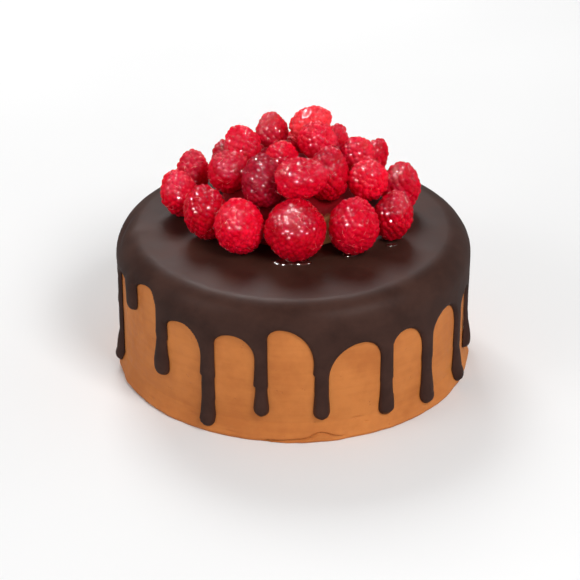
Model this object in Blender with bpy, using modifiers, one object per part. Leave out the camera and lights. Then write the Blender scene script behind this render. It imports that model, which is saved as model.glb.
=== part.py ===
"""A round chocolate drip cake crowned with a heap of raspberries.

The cake is a short drum of caramel-coloured buttercream. Dark ganache covers its top, rolls over the
shoulder and runs down the wall in drips with rounded ends. A mound of the same buttercream on the top
carries the raspberries. Metres, +Z up, the origin at the middle of the base, the front towards -Y.
"""

import math
import random

import bmesh
import bpy
from mathutils import Matrix, Vector

# Sizes of the cake
CAKE_RADIUS = 0.0826
CAKE_HEIGHT = 0.067
SHOULDER_RADIUS = 0.010
SHOULDER_STEPS = 4
LIP_RADIUS = 0.0852
LIP_EDGE_HEIGHT = 0.0015
LIP_HEIGHT = 0.009
SIDES = 48

# Sizes of the ganache
CLEARANCE = 0.0003
SKIN = 0.0017
BULB_DEPTH = 0.0034
SKIN_EDGE = 0.0007
BULB_EDGE = 0.0016
EDGE_ROUNDING = 0.0013
ARC_RADIUS = 0.0840

# Form of a drip. The heights, the reach and the run are shares of the width of its rounded end.
BULB_MIDDLE = 0.6
BULB_STRETCH = 0.62
BULB_REACH = 0.95
NECK_RUN = 1.3
FLANK_SHARES = (0.1, 0.3, 0.6, 1.6)
LOWEST_FOOT = 0.75
LEAST_DROP = 2.0
LEAST_FLANK = 1.0
ARCH_TURNS = (30, 60)

# Drips seen from the front: bearing in degrees (0 is the front, positive to the right), height of the
# tip, width of the neck and width of the rounded end, in millimetres.
FRONT_DRIPS = (
    (-80.5, 3.4, 6.0, 8.0),
    (-64.0, 43.6, 8.0, 8.8),
    (-47.0, 20.2, 7.0, 9.4),
    (-28.2, 3.0, 7.0, 8.0),
    (-10.2, 12.8, 5.9, 7.4),
    (8.9, 11.2, 6.8, 7.9),
    (31.0, 7.5, 6.8, 8.2),
    (48.2, 4.3, 7.0, 8.6),
    (68.0, 2.0, 6.2, 8.6),
    (82.0, 9.0, 4.6, 8.0),
)

# Arched gaps between neighbouring drips: height of the arch, where its top lies between the two drips
# (0 left, 1 right), and how far its left and right flanks curve down, in millimetres.
FRONT_ARCHES = (
    (56.0, 0.50, 6.0, 8.0),
    (61.5, 0.60, 5.0, 8.0),
    (52.6, 0.48, 5.0, 14.0),
    (53.0, 0.45, 6.0, 11.0),
    (58.3, 0.27, 5.0, 18.0),
    (48.9, 0.62, 17.0, 10.0),
    (49.2, 0.38, 6.0, 14.0),
    (49.0, 0.48, 10.0, 15.0),
    (46.5, 0.50, 6.0, 8.0),
)
BACK_DRIPS = 12
BACK_SEED = 7
BACK_TIPS = (6.0, 9.0, 14.0, 20.0, 27.0, 36.0)

# Sizes of the mound of buttercream on top
MOUND_CENTRE = (0.0, 0.012)
MOUND_RADIUS = 0.036
MOUND_HEIGHT = 0.027
MOUND_PRESS = 0.0035
MOUND_SEGMENTS = 28
MOUND_RINGS = 16
SOCKET_GAP = 0.0004

# Raspberries, in millimetres and degrees: where the middle lies (x, y, height over the ganache), the
# width across, the length from end to end, and the bearing and rise of the rounded tip (bearing 0 is
# +X, 90 is +Y). Three groups: the ring on the ganache, those that lean on the mound, and the crest.
RASPBERRIES = (
    (-54.6, 10.3, 11.7, 17.1, 22.9, 185, 75),
    (-41.1, -13.9, 13.7, 19.9, 26.9, 220, 78),
    (-25.1, -28.4, 13.8, 22.2, 26.9, 250, 80),
    (0.8, -33.8, 14.6, 27.0, 28.5, 268, 80),
    (27.9, -28.6, 14.0, 22.7, 27.5, 285, 80),
    (46.8, -15.2, 12.6, 17.8, 24.7, 330, 76),
    (51.4, 14.3, 12.9, 18.2, 25.0, 0, 86),
    (35.9, 39.5, 10.4, 17.3, 21.6, 40, 50),
    (21.7, 51.4, 10.7, 18.4, 22.5, 65, 45),
    (2.6, 56.4, 11.3, 20.0, 24.2, 90, 40),
    (-16.5, 51.4, 10.6, 18.4, 22.2, 115, 45),
    (-32.9, 47.8, 11.9, 13.8, 18.6, 130, 60),
    (-48.7, 32.4, 11.8, 15.7, 22.4, 80, 78),
    (-34.3, 34.2, 12.1, 12.1, 16.5, 160, 60),
    (-30.8, 7.7, 24.5, 19.6, 19.9, 225, 40),
    (-14.3, -10.3, 27.6, 19.0, 25.5, 100, 68),
    (16.4, -5.6, 29.1, 18.6, 25.8, 85, 68),
    (35.3, -6.7, 26.9, 18.4, 19.8, 310, 35),
    (30.4, 18.1, 29.3, 15.6, 16.2, 250, 60),
    (38.9, 28.4, 22.6, 13.1, 17.6, 20, 60),
    (22.7, 37.1, 16.8, 11.4, 15.3, 50, 50),
    (10.9, 44.5, 24.4, 18.2, 21.1, 80, 40),
    (-10.3, 36.0, 32.6, 15.0, 17.5, 100, 60),
    (-24.4, 28.6, 28.5, 16.9, 19.1, 135, 50),
    (3.4, -20.5, 34.3, 18.8, 24.9, 2, 8),
    (-5.5, 8.0, 31.9, 15.0, 16.4, 265, 60),
    (-5.2, 42.9, 19.7, 14.3, 14.8, 120, 60),
    (20.1, 32.6, 28.8, 12.2, 16.4, 60, 50),
    (11.2, 14.0, 37.9, 17.3, 18.5, 280, 55),
    (8.3, 31.1, 38.3, 16.0, 21.3, 20, 20),
)
BERRY_SEED = 7
VALLEY_DEPTH = 0.06
DRUPELET_JITTER = 0.02
HOLLOW_DEPTH = 0.45
TIP_TAPER = 0.14
SETTLE_ROUNDS = 400
SETTLE_GAP = 0.0004
HOMEWARD_PULL = 0.04
PULL_FADE = 1.5

MILLIMETRE = 0.001
TOP_SURFACE = CAKE_HEIGHT + CLEARANCE + SKIN


def clear_scene():
    """Removes every object that the file opened with."""
    for found in list(bpy.data.objects):
        bpy.data.objects.remove(found, do_unlink=True)


def new_collection(name):
    """Adds a collection to the scene."""
    made = bpy.data.collections.new(name)
    bpy.context.scene.collection.children.link(made)
    return made


def new_material(name, colour, roughness, coat=0.0):
    """A plain Principled surface."""
    made = bpy.data.materials.new(name)
    made.use_nodes = True
    shader = made.node_tree.nodes["Principled BSDF"]
    shader.inputs["Base Color"].default_value = (*colour, 1.0)
    shader.inputs["Roughness"].default_value = roughness
    shader.inputs["Metallic"].default_value = 0.0
    shader.inputs["Coat Weight"].default_value = coat
    return made


def new_object(name, mesh, collection, material):
    """Links a mesh as a named piece."""
    made = bpy.data.objects.new(name, mesh)
    collection.objects.link(made)
    mesh.materials.clear()
    mesh.materials.append(material)
    return made


def wall_profile(offset):
    """The cake's outline as (radius, height), from the edge of the flat top down to the base.

    The outline is moved outwards by offset, upwards on the top and sideways on the wall.
    """
    middle_radius = CAKE_RADIUS - SHOULDER_RADIUS
    middle_height = CAKE_HEIGHT - SHOULDER_RADIUS
    outer = SHOULDER_RADIUS + offset
    points = []
    for step in range(SHOULDER_STEPS + 1):
        turn = math.radians(90) * (1 - step / SHOULDER_STEPS)
        points.append((middle_radius + outer * math.cos(turn), middle_height + outer * math.sin(turn)))
    points.append((CAKE_RADIUS + offset, LIP_HEIGHT))
    points.append((LIP_RADIUS + offset, LIP_EDGE_HEIGHT))
    points.append((LIP_RADIUS + offset, 0.0))
    return points


def build_cake(collection, material):
    """The buttercream drum, turned from its profile and solid throughout."""
    profile = [(0.0, CAKE_HEIGHT), *wall_profile(0.0), (0.0, 0.0)]
    mesh = bpy.data.meshes.new("cake")
    corners = [(radius, 0.0, height) for radius, height in profile]
    mesh.from_pydata(corners, [(i, i + 1) for i in range(len(corners) - 1)], [])
    cake = new_object("cake", mesh, collection, material)
    screw = cake.modifiers.new("turn", "SCREW")
    screw.steps = SIDES
    screw.render_steps = SIDES
    screw.use_merge_vertices = True
    screw.merge_threshold = 0.00005
    return cake


def back_drips(randomness):
    """Drips round the back, where the run of the front ones goes on, with the arches before each."""
    first, last = FRONT_DRIPS[-1][0], FRONT_DRIPS[0][0] + 360
    pitch = (last - first) / (BACK_DRIPS + 1)
    drips, arches = [], []
    for number in range(1, BACK_DRIPS + 1):
        bearing = first + pitch * (number + randomness.uniform(-0.14, 0.14))
        tip = randomness.choice(BACK_TIPS) + randomness.uniform(-1.5, 1.5)
        neck = randomness.uniform(6.0, 7.2)
        drips.append((bearing, tip, neck, neck + randomness.uniform(0.8, 1.6)))
    for _ in range(BACK_DRIPS + 1):
        arch = randomness.uniform(48.0, 56.0)
        left, right = randomness.uniform(5.0, 12.0), randomness.uniform(5.0, 12.0)
        arches.append((arch, randomness.uniform(0.35, 0.65), left, right))
    return drips, arches


def all_drips():
    """Every drip in order of bearing, and the arch that follows each of them."""
    drips, arches = back_drips(random.Random(BACK_SEED))
    return [*FRONT_DRIPS, *drips], [*FRONT_ARCHES, *arches]


def drip_half_width(drip, height):
    """Half the width of a drip at a height in millimetres, from its round end to its neck."""
    _, tip, neck, bulb = drip
    over_tip = height - tip
    if over_tip <= bulb / 2:
        inside = max(0.0, 1 - (1 - over_tip / (bulb / 2)) ** 2)
        return bulb / 2 * math.sqrt(inside)
    blend = min(1.0, (over_tip - bulb / 2) / (NECK_RUN * bulb))
    smooth = blend * blend * (3 - 2 * blend)
    return (bulb + (neck - bulb) * smooth) / 2


def flank_heights(drip, foot):
    """Heights at which one flank of a drip gets a point, upwards from its tip."""
    _, tip, _, bulb = drip
    heights = [tip + bulb * share for share in FLANK_SHARES]
    return [height for height in heights if height < foot - LEAST_FLANK] + [foot]


def arch_foot(drip, height, drop):
    """Where the flank of a drip ends and the curve of the arch beside it begins."""
    _, tip, _, bulb = drip
    return max(height - drop, min(tip + LOWEST_FOOT * bulb, height - LEAST_DROP))


def to_flat(bearing, sideways, height):
    """A point of the unrolled wall in metres, from a bearing in degrees and millimetres."""
    return (math.radians(bearing) * ARC_RADIUS + sideways * MILLIMETRE, height * MILLIMETRE)


def arch_points(left, right, arch):
    """The curve of one arch from its left foot to its right foot, both left out."""
    height, share, left_drop, right_drop = arch
    left_foot = arch_foot(left, height, left_drop)
    right_foot = arch_foot(right, height, right_drop)
    start = to_flat(left[0], drip_half_width(left, left_foot), left_foot)
    end = to_flat(right[0], -drip_half_width(right, right_foot), right_foot)
    top = (start[0] + (end[0] - start[0]) * share, height * MILLIMETRE)
    points = []
    for turn in (*ARCH_TURNS, 90):
        across, up = 1 - math.cos(math.radians(turn)), math.sin(math.radians(turn))
        points.append((start[0] + (top[0] - start[0]) * across, start[1] + (top[1] - start[1]) * up))
    for turn in reversed(ARCH_TURNS):
        across, up = 1 - math.cos(math.radians(turn)), math.sin(math.radians(turn))
        points.append((end[0] + (top[0] - end[0]) * across, end[1] + (top[1] - end[1]) * up))
    return points


def lower_edge():
    """The lower edge of the ganache, unrolled from left to right over one full turn."""
    drips, arches = all_drips()
    seam = arch_points(drips[-1], (drips[0][0] + 360, *drips[0][1:]), arches[-1])
    turn = math.radians(360) * ARC_RADIUS
    points = [(across - turn, up) for across, up in seam[2:]]
    for index, drip in enumerate(drips):
        before = arches[index - 1]
        after = arches[index]
        left = flank_heights(drip, arch_foot(drip, before[0], before[3]))
        right = flank_heights(drip, arch_foot(drip, after[0], after[2]))
        points += [to_flat(drip[0], -drip_half_width(drip, height), height) for height in reversed(left)]
        points.append(to_flat(drip[0], 0.0, drip[1]))
        points += [to_flat(drip[0], drip_half_width(drip, height), height) for height in right]
        if index + 1 < len(drips):
            points += arch_points(drip, drips[index + 1], after)
    return points + seam[:3]


def profile_length(offset):
    """The profile from the base up to the flat top, as (length so far, radius, height)."""
    profile = list(reversed(wall_profile(offset)))
    length = 0.0
    steps = [(0.0, *profile[0])]
    for (radius_a, height_a), (radius_b, height_b) in zip(profile, profile[1:]):
        length += math.hypot(radius_b - radius_a, height_b - height_a)
        steps.append((length, radius_b, height_b))
    return steps


def roll_up(across, up, steps):
    """Carries a point of the unrolled wall to its place on the cake."""
    for (start, radius_a, height_a), (end, radius_b, height_b) in zip(steps, steps[1:]):
        if up <= end + 1e-9:
            break
    share = (up - start) / (end - start)
    radius = radius_a + (radius_b - radius_a) * share
    height = height_a + (height_b - height_a) * share
    bearing = across / ARC_RADIUS
    return Vector((radius * math.sin(bearing), -radius * math.cos(bearing), height))


def flat_sheet(outline):
    """A flat mesh of one face, from a filled 2D curve through the outline."""
    curve = bpy.data.curves.new("outline", "CURVE")
    curve.dimensions = "2D"
    curve.fill_mode = "BOTH"
    spline = curve.splines.new("POLY")
    spline.points.add(len(outline) - 1)
    for point, (across, up) in zip(spline.points, outline):
        point.co = (across, up, 0.0, 1.0)
    spline.use_cyclic_u = True
    holder = bpy.data.objects.new("outline", curve)
    bpy.context.scene.collection.objects.link(holder)
    graph = bpy.context.evaluated_depsgraph_get()
    mesh = bpy.data.meshes.new_from_object(holder.evaluated_get(graph))
    bpy.data.objects.remove(holder, do_unlink=True)
    sheet = bmesh.new()
    sheet.from_mesh(mesh)
    bpy.data.meshes.remove(mesh)
    bmesh.ops.remove_doubles(sheet, verts=sheet.verts, dist=1e-6)
    bmesh.ops.dissolve_faces(sheet, faces=sheet.faces, use_verts=False)
    for face in sheet.faces:
        if face.normal.z < 0:
            face.normal_flip()
    return sheet


def cut_sheet(sheet, place, direction):
    """Adds an edge across the whole sheet along one line."""
    parts = [*sheet.verts, *sheet.edges, *sheet.faces]
    bmesh.ops.bisect_plane(sheet, geom=parts, dist=1e-7, plane_co=place, plane_no=direction)


def bulb_share(across, up, drips):
    """1 in the middle of a drip's rounded end, 0 away from it."""
    best = 0.0
    for bearing, tip, _, bulb in drips:
        for turn in (-360, 0, 360):
            middle = to_flat(bearing + turn, 0.0, tip + BULB_MIDDLE * bulb)
            apart = math.hypot(across - middle[0], (up - middle[1]) * BULB_STRETCH) / (bulb * MILLIMETRE)
            best = max(best, 1 - min(1.0, apart / BULB_REACH) ** 2)
    return best


def build_ganache(collection, material):
    """The ganache: a skin over the top and shoulder that ends in drips down the wall."""
    steps = profile_length(CLEARANCE)
    crown = steps[-1][0]
    edge = lower_edge()
    outline = [*edge, (edge[-1][0], crown), (edge[0][0], crown)]
    sheet = flat_sheet(outline)
    inset = bmesh.ops.inset_region(
        sheet, faces=sheet.faces, use_boundary=True, use_even_offset=True, thickness=EDGE_ROUNDING, depth=0.0
    )
    assert inset["faces"], "the edge could not be inset"
    facet = 2 * math.pi * ARC_RADIUS / SIDES
    first = math.ceil(edge[0][0] / facet + 1e-6)
    last = math.floor(edge[-1][0] / facet - 1e-6)
    for number in range(first, last + 1):
        cut_sheet(sheet, (number * facet, 0, 0), (1, 0, 0))
    for length, _, _ in steps[1:-1]:
        cut_sheet(sheet, (0, length, 0), (0, 1, 0))

    drips, _ = all_drips()
    depth_layer = sheet.verts.layers.float.new("depth")
    for vert in sheet.verts:
        vert[depth_layer] = bulb_share(vert.co.x, vert.co.y, drips)
        vert.co = roll_up(vert.co.x, vert.co.y, steps)
    bmesh.ops.remove_doubles(sheet, verts=sheet.verts, dist=0.00002)
    rim = [e for e in sheet.edges if e.is_boundary and min(v.co.z for v in e.verts) > CAKE_HEIGHT]
    bmesh.ops.holes_fill(sheet, edges=rim, sides=0)
    bmesh.ops.recalc_face_normals(sheet, faces=sheet.faces)
    if max(sheet.faces, key=lambda face: face.calc_center_median().z).normal.z < 0:
        bmesh.ops.reverse_faces(sheet, faces=sheet.faces)

    weights = []
    for vert in sheet.verts:
        thin, thick = (SKIN_EDGE, BULB_EDGE) if vert.is_boundary else (SKIN, BULB_DEPTH)
        weights.append((thin + (thick - thin) * vert[depth_layer]) / BULB_DEPTH)
    mesh = bpy.data.meshes.new("ganache")
    sheet.to_mesh(mesh)
    sheet.free()
    ganache = new_object("ganache", mesh, collection, material)
    group = ganache.vertex_groups.new(name="depth")
    for index, weight in enumerate(weights):
        group.add([index], weight, "REPLACE")
    skin = ganache.modifiers.new("skin", "SOLIDIFY")
    skin.thickness = BULB_DEPTH
    skin.offset = 1.0
    skin.vertex_group = "depth"
    return ganache


def build_mound(pieces, cutters, material, berries):
    """The low mound of buttercream, with a socket where each raspberry presses into it."""
    bpy.ops.mesh.primitive_uv_sphere_add(segments=MOUND_SEGMENTS, ring_count=MOUND_RINGS, radius=1.0)
    mound = bpy.context.active_object
    mound.name = "buttercream_mound"
    mesh = mound.data
    mesh.transform(Matrix.Diagonal((MOUND_RADIUS, MOUND_RADIUS, MOUND_HEIGHT, 1.0)))
    work = bmesh.new()
    work.from_mesh(mesh)
    parts = [*work.verts, *work.edges, *work.faces]
    bmesh.ops.bisect_plane(work, geom=parts, dist=1e-6, plane_co=(0, 0, 0), plane_no=(0, 0, -1), clear_outer=True)
    bmesh.ops.holes_fill(work, edges=[e for e in work.edges if e.is_boundary], sides=0)
    bmesh.ops.recalc_face_normals(work, faces=work.faces)
    work.to_mesh(mesh)
    work.free()
    mesh.transform(Matrix.Translation((*MOUND_CENTRE, TOP_SURFACE + CLEARANCE)))
    for owner in list(mound.users_collection):
        owner.objects.unlink(mound)
    pieces.objects.link(mound)
    mesh.materials.clear()
    mesh.materials.append(material)
    for number, berry in enumerate(berries, start=1):
        cutter = new_object(f"socket_{number:02d}", socket_mesh(berry), cutters, material)
        place_berry(cutter, berry)
        cutter.hide_render = True
        cutter.display_type = "WIRE"
    cut = mound.modifiers.new("sockets", "BOOLEAN")
    cut.operation = "DIFFERENCE"
    cut.operand_type = "COLLECTION"
    cut.collection = cutters
    cut.solver = "EXACT"
    cut.use_self = True
    return mound


def tip_direction(bearing, rise):
    """The way a raspberry's tip points, from two angles in degrees."""
    flat = math.cos(math.radians(rise))
    turn = math.radians(bearing)
    return Vector((flat * math.cos(turn), flat * math.sin(turn), math.sin(math.radians(rise))))


def reach(berry, direction):
    """How far a raspberry's rounded form reaches along a direction from its middle."""
    along = direction.dot(berry["tip"])
    return math.sqrt(berry["across"] ** 2 * (1 - along * along) + berry["half"] ** 2 * along * along)


def push_from_mound(berry):
    """Moves a raspberry outwards, if it presses too deep into the mound."""
    place = berry["place"] - Vector((*MOUND_CENTRE, TOP_SURFACE))
    slope = Vector((place.x / MOUND_RADIUS**2, place.y / MOUND_RADIUS**2, place.z / MOUND_HEIGHT**2))
    slope.normalize()
    flat = math.hypot(slope.x, slope.y) * MOUND_RADIUS
    mound_reach = math.hypot(flat, slope.z * MOUND_HEIGHT)
    short = mound_reach + reach(berry, slope) - MOUND_PRESS - place.dot(slope)
    if short > 0:
        berry["place"] += slope * short


def push_from_top(berry):
    """Keeps a raspberry over the flat top of the ganache."""
    lowest = TOP_SURFACE + SETTLE_GAP + reach(berry, Vector((0, 0, 1)))
    berry["place"].z = max(berry["place"].z, lowest)


def push_apart(one, other):
    """Moves two raspberries apart until a gap is left between them."""
    between = other["place"] - one["place"]
    apart = between.length
    direction = between / apart
    short = reach(one, direction) + reach(other, direction) + SETTLE_GAP - apart
    if short > 0:
        one["place"] -= direction * (short / 2)
        other["place"] += direction * (short / 2)


def settle_raspberries():
    """Lets the raspberries press towards their places while none enters another, the mound or the top."""
    berries = []
    for x, y, over, width, length, bearing, rise in RASPBERRIES:
        home = Vector((x * MILLIMETRE, y * MILLIMETRE, TOP_SURFACE + over * MILLIMETRE))
        berries.append(
            {
                "home": home,
                "place": home.copy(),
                "across": width * MILLIMETRE / 2,
                "half": length * MILLIMETRE / 2,
                "tip": tip_direction(bearing, rise),
            }
        )
    for turn in range(SETTLE_ROUNDS):
        pull = HOMEWARD_PULL * max(0.0, 1 - PULL_FADE * turn / SETTLE_ROUNDS)
        for berry in berries:
            berry["place"] += (berry["home"] - berry["place"]) * pull
        for index, one in enumerate(berries):
            for other in berries[index + 1 :]:
                push_apart(one, other)
        for berry in berries:
            push_from_mound(berry)
            push_from_top(berry)
    return berries


def berry_point(direction, berry, size):
    """A point on a raspberry's tapering form, for a direction from its middle and a relative size."""
    width = size * (1 - TIP_TAPER * max(0.0, direction.z)) * berry["across"]
    return Vector((direction.x * width, direction.y * width, direction.z * size * berry["half"]))


def raspberry_mesh(name, berry, randomness):
    """A raspberry: rounded drupelets with valleys between them, and a hollow at the stalk end."""
    work = bmesh.new()
    bmesh.ops.create_icosphere(work, subdivisions=2, radius=1.0)
    peaks = set(work.verts)
    ridges = list(work.edges)
    bmesh.ops.poke(work, faces=work.faces, offset=0.0)
    bmesh.ops.rotate_edges(work, edges=ridges, use_ccw=False)
    lowest = min(work.verts, key=lambda vert: vert.co.z)
    for vert in work.verts:
        size = 1 - DRUPELET_JITTER * randomness.random() if vert in peaks else 1 - VALLEY_DEPTH
        vert.co = berry_point(vert.co.normalized(), berry, size)
    lowest.co.z = berry["half"] * (HOLLOW_DEPTH - 1)
    mesh = bpy.data.meshes.new(name)
    work.to_mesh(mesh)
    work.free()
    return mesh


def socket_mesh(berry):
    """The smooth form of a raspberry, a little enlarged, that cuts its socket."""
    work = bmesh.new()
    bmesh.ops.create_icosphere(work, subdivisions=2, radius=1.0)
    size = 1 + SOCKET_GAP / min(berry["across"], berry["half"])
    for vert in work.verts:
        vert.co = berry_point(vert.co.normalized(), berry, size)
    mesh = bpy.data.meshes.new("socket")
    work.to_mesh(mesh)
    work.free()
    return mesh


def place_berry(piece, berry):
    """Turns and moves an object to where a raspberry settled."""
    piece.location = berry["place"]
    piece.rotation_mode = "QUATERNION"
    piece.rotation_quaternion = berry["tip"].to_track_quat("Z", "Y")


def build_raspberries(collection, material, berries):
    """One object for each raspberry of the heap."""
    randomness = random.Random(BERRY_SEED)
    for number, berry in enumerate(berries, start=1):
        name = f"raspberry_{number:02d}"
        piece = new_object(name, raspberry_mesh(name, berry, randomness), collection, material)
        place_berry(piece, berry)


def main():
    """Builds the whole cake."""
    clear_scene()
    pieces = new_collection("drip_cake")
    cutters = new_collection("cutters")
    buttercream = new_material("buttercream", (0.50, 0.22, 0.075), 0.55)
    chocolate = new_material("ganache", (0.040, 0.018, 0.012), 0.35, coat=0.2)
    mound_cream = new_material("mound_buttercream", (0.50, 0.24, 0.09), 0.55)
    flesh = new_material("raspberry_flesh", (0.55, 0.012, 0.03), 0.25, coat=0.6)
    build_cake(pieces, buttercream)
    build_ganache(pieces, chocolate)
    berries = settle_raspberries()
    build_mound(pieces, cutters, mound_cream, berries)
    build_raspberries(pieces, flesh, berries)


main()
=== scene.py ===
"""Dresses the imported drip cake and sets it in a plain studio.

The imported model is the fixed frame. The buttercream wall, the ganache with its drips, the mound, the
raspberries and the glaze are modelled again in fine detail where the frame has them, in metres.
"""

import contextlib
import logging
import math
import random
from collections.abc import Callable, Iterator
from dataclasses import dataclass, field, replace
from enum import Enum

import bmesh
import bpy
import numpy as np
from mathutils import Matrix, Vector, noise
from mathutils.kdtree import KDTree


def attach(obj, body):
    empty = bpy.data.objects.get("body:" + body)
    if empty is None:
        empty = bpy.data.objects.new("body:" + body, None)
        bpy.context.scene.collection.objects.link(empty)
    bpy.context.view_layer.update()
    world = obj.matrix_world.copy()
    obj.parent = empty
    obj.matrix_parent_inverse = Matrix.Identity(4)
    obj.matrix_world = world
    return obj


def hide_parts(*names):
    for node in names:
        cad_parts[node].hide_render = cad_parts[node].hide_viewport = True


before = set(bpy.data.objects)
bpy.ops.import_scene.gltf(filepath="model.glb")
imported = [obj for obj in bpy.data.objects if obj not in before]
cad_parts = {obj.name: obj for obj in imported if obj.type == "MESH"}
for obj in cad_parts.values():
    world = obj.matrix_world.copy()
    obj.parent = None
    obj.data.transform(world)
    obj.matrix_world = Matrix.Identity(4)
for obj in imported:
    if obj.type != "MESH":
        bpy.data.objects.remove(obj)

MM = 0.001
BODY = "root"
TURN = 2 * math.pi
GOLDEN_ANGLE = math.radians(137.508)
HEXAGON_SHARE = 0.866
COLOUR_MIX_INPUTS = (0, 6, 7)
COLOUR_MIX_OUTPUT = 2

log = logging.getLogger("drip_cake")

Triple = tuple[float, float, float]
Socket = bpy.types.NodeSocket


class Slot(Enum):
    """The record's material slots."""

    BUTTERCREAM = "buttercream"
    GANACHE = "ganache"
    MOUND = "mound_buttercream"
    FLESH = "raspberry_flesh"


class Ripeness(Enum):
    """How deep the red of a raspberry is."""

    DEEP = "deep"
    DARK = "dark"
    RIPE = "ripe"
    # Paler, pinker flesh, partly painted highlight on the top raspberry.
    BRIGHT = "bright"
    PALE = "pale"


# ---------------------------------------------------------------- working in edit mode


def select_only(piece: bpy.types.Object) -> None:
    """Makes one object the only selected one, and the active one."""
    for other in list(bpy.context.selected_objects):
        other.select_set(False)
    piece.select_set(True)
    bpy.context.view_layer.objects.active = piece


@contextlib.contextmanager
def editing(piece: bpy.types.Object, kind: str = "VERT") -> Iterator[None]:
    """Opens a piece in edit mode and closes it again.

    Args:
        piece: The mesh object to edit.
        kind: What is selected there, VERT, EDGE or FACE.
    """
    select_only(piece)
    bpy.context.tool_settings.mesh_select_mode = tuple(kind == each for each in ("VERT", "EDGE", "FACE"))
    bpy.ops.object.mode_set(mode="EDIT")
    yield
    bpy.ops.object.mode_set(mode="OBJECT")


def pick(mesh: bpy.types.Mesh, kind: str, chosen: np.ndarray) -> None:
    """Selects parts of a mesh in object mode, and nothing else.

    Args:
        mesh: The mesh.
        kind: The name of its parts, vertices, edges or polygons.
        chosen: One true or false for each part.
    """
    for each in ("vertices", "edges", "polygons"):
        parts = getattr(mesh, each)
        parts.foreach_set("select", chosen if each == kind else np.zeros(len(parts), bool))


def places(mesh: bpy.types.Mesh) -> np.ndarray:
    """The vertices of a mesh as rows of x, y and z."""
    found = np.empty(len(mesh.vertices) * 3)
    mesh.vertices.foreach_get("co", found)
    return found.reshape(-1, 3)


def move_to(mesh: bpy.types.Mesh, points: np.ndarray) -> None:
    """Puts the vertices of a mesh at new places."""
    mesh.vertices.foreach_set("co", np.ascontiguousarray(points, dtype=np.float64).ravel())
    mesh.update()


def edge_ends(mesh: bpy.types.Mesh) -> np.ndarray:
    """The two vertex numbers of each edge."""
    found = np.empty(len(mesh.edges) * 2, int)
    mesh.edges.foreach_get("vertices", found)
    return found.reshape(-1, 2)


def apply_modifiers(piece: bpy.types.Object) -> None:
    """Applies every modifier of a piece, in order."""
    select_only(piece)
    for modifier in list(piece.modifiers):
        bpy.ops.object.modifier_apply(modifier=modifier.name)


def settle(piece: bpy.types.Object, name: str) -> None:
    """Names a finished piece and puts its place into its mesh."""
    select_only(piece)
    bpy.ops.object.transform_apply(location=True, rotation=True, scale=True)
    piece.name = name
    piece.data.name = name
    bpy.ops.object.shade_smooth()


def smoothstep(low: float, high: float, value: np.ndarray) -> np.ndarray:
    """0 below low, 1 above high, and a smooth rise between them."""
    share = np.clip((value - low) / (high - low), 0, 1)
    return share * share * (3 - 2 * share)


def lumps(points: np.ndarray, size: float, seed: float, stretch: Triple = (1, 1, 1)) -> np.ndarray:
    """Smooth noise from -1 to 1 at each point.

    Args:
        points: Rows of x, y and z.
        size: The width of one lump, in metres.
        seed: Moves the pattern.
        stretch: How much longer a lump is along each axis.

    Returns:
        One value for each point.
    """
    scaled = points / (size * np.array(stretch)) + seed
    return np.array([noise.noise(Vector(row)) for row in scaled])


def bearings(points: np.ndarray) -> np.ndarray:
    """The bearing of each point in degrees, 0 at the front and positive to the right."""
    return np.degrees(np.arctan2(points[:, 0], -points[:, 1]))


@dataclass(frozen=True)
class Relief:
    """One layer of unevenness: the width of its lumps, how deep they are, its seed and its stretch."""

    size: float
    depth: float
    seed: float
    stretch: Triple = (1, 1, 1)

    def at(self, points: np.ndarray) -> np.ndarray:
        """How far the layer stands out at each point, in metres."""
        return lumps(points, self.size, self.seed, self.stretch) * self.depth


# ---------------------------------------------------------------- node trees


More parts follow.
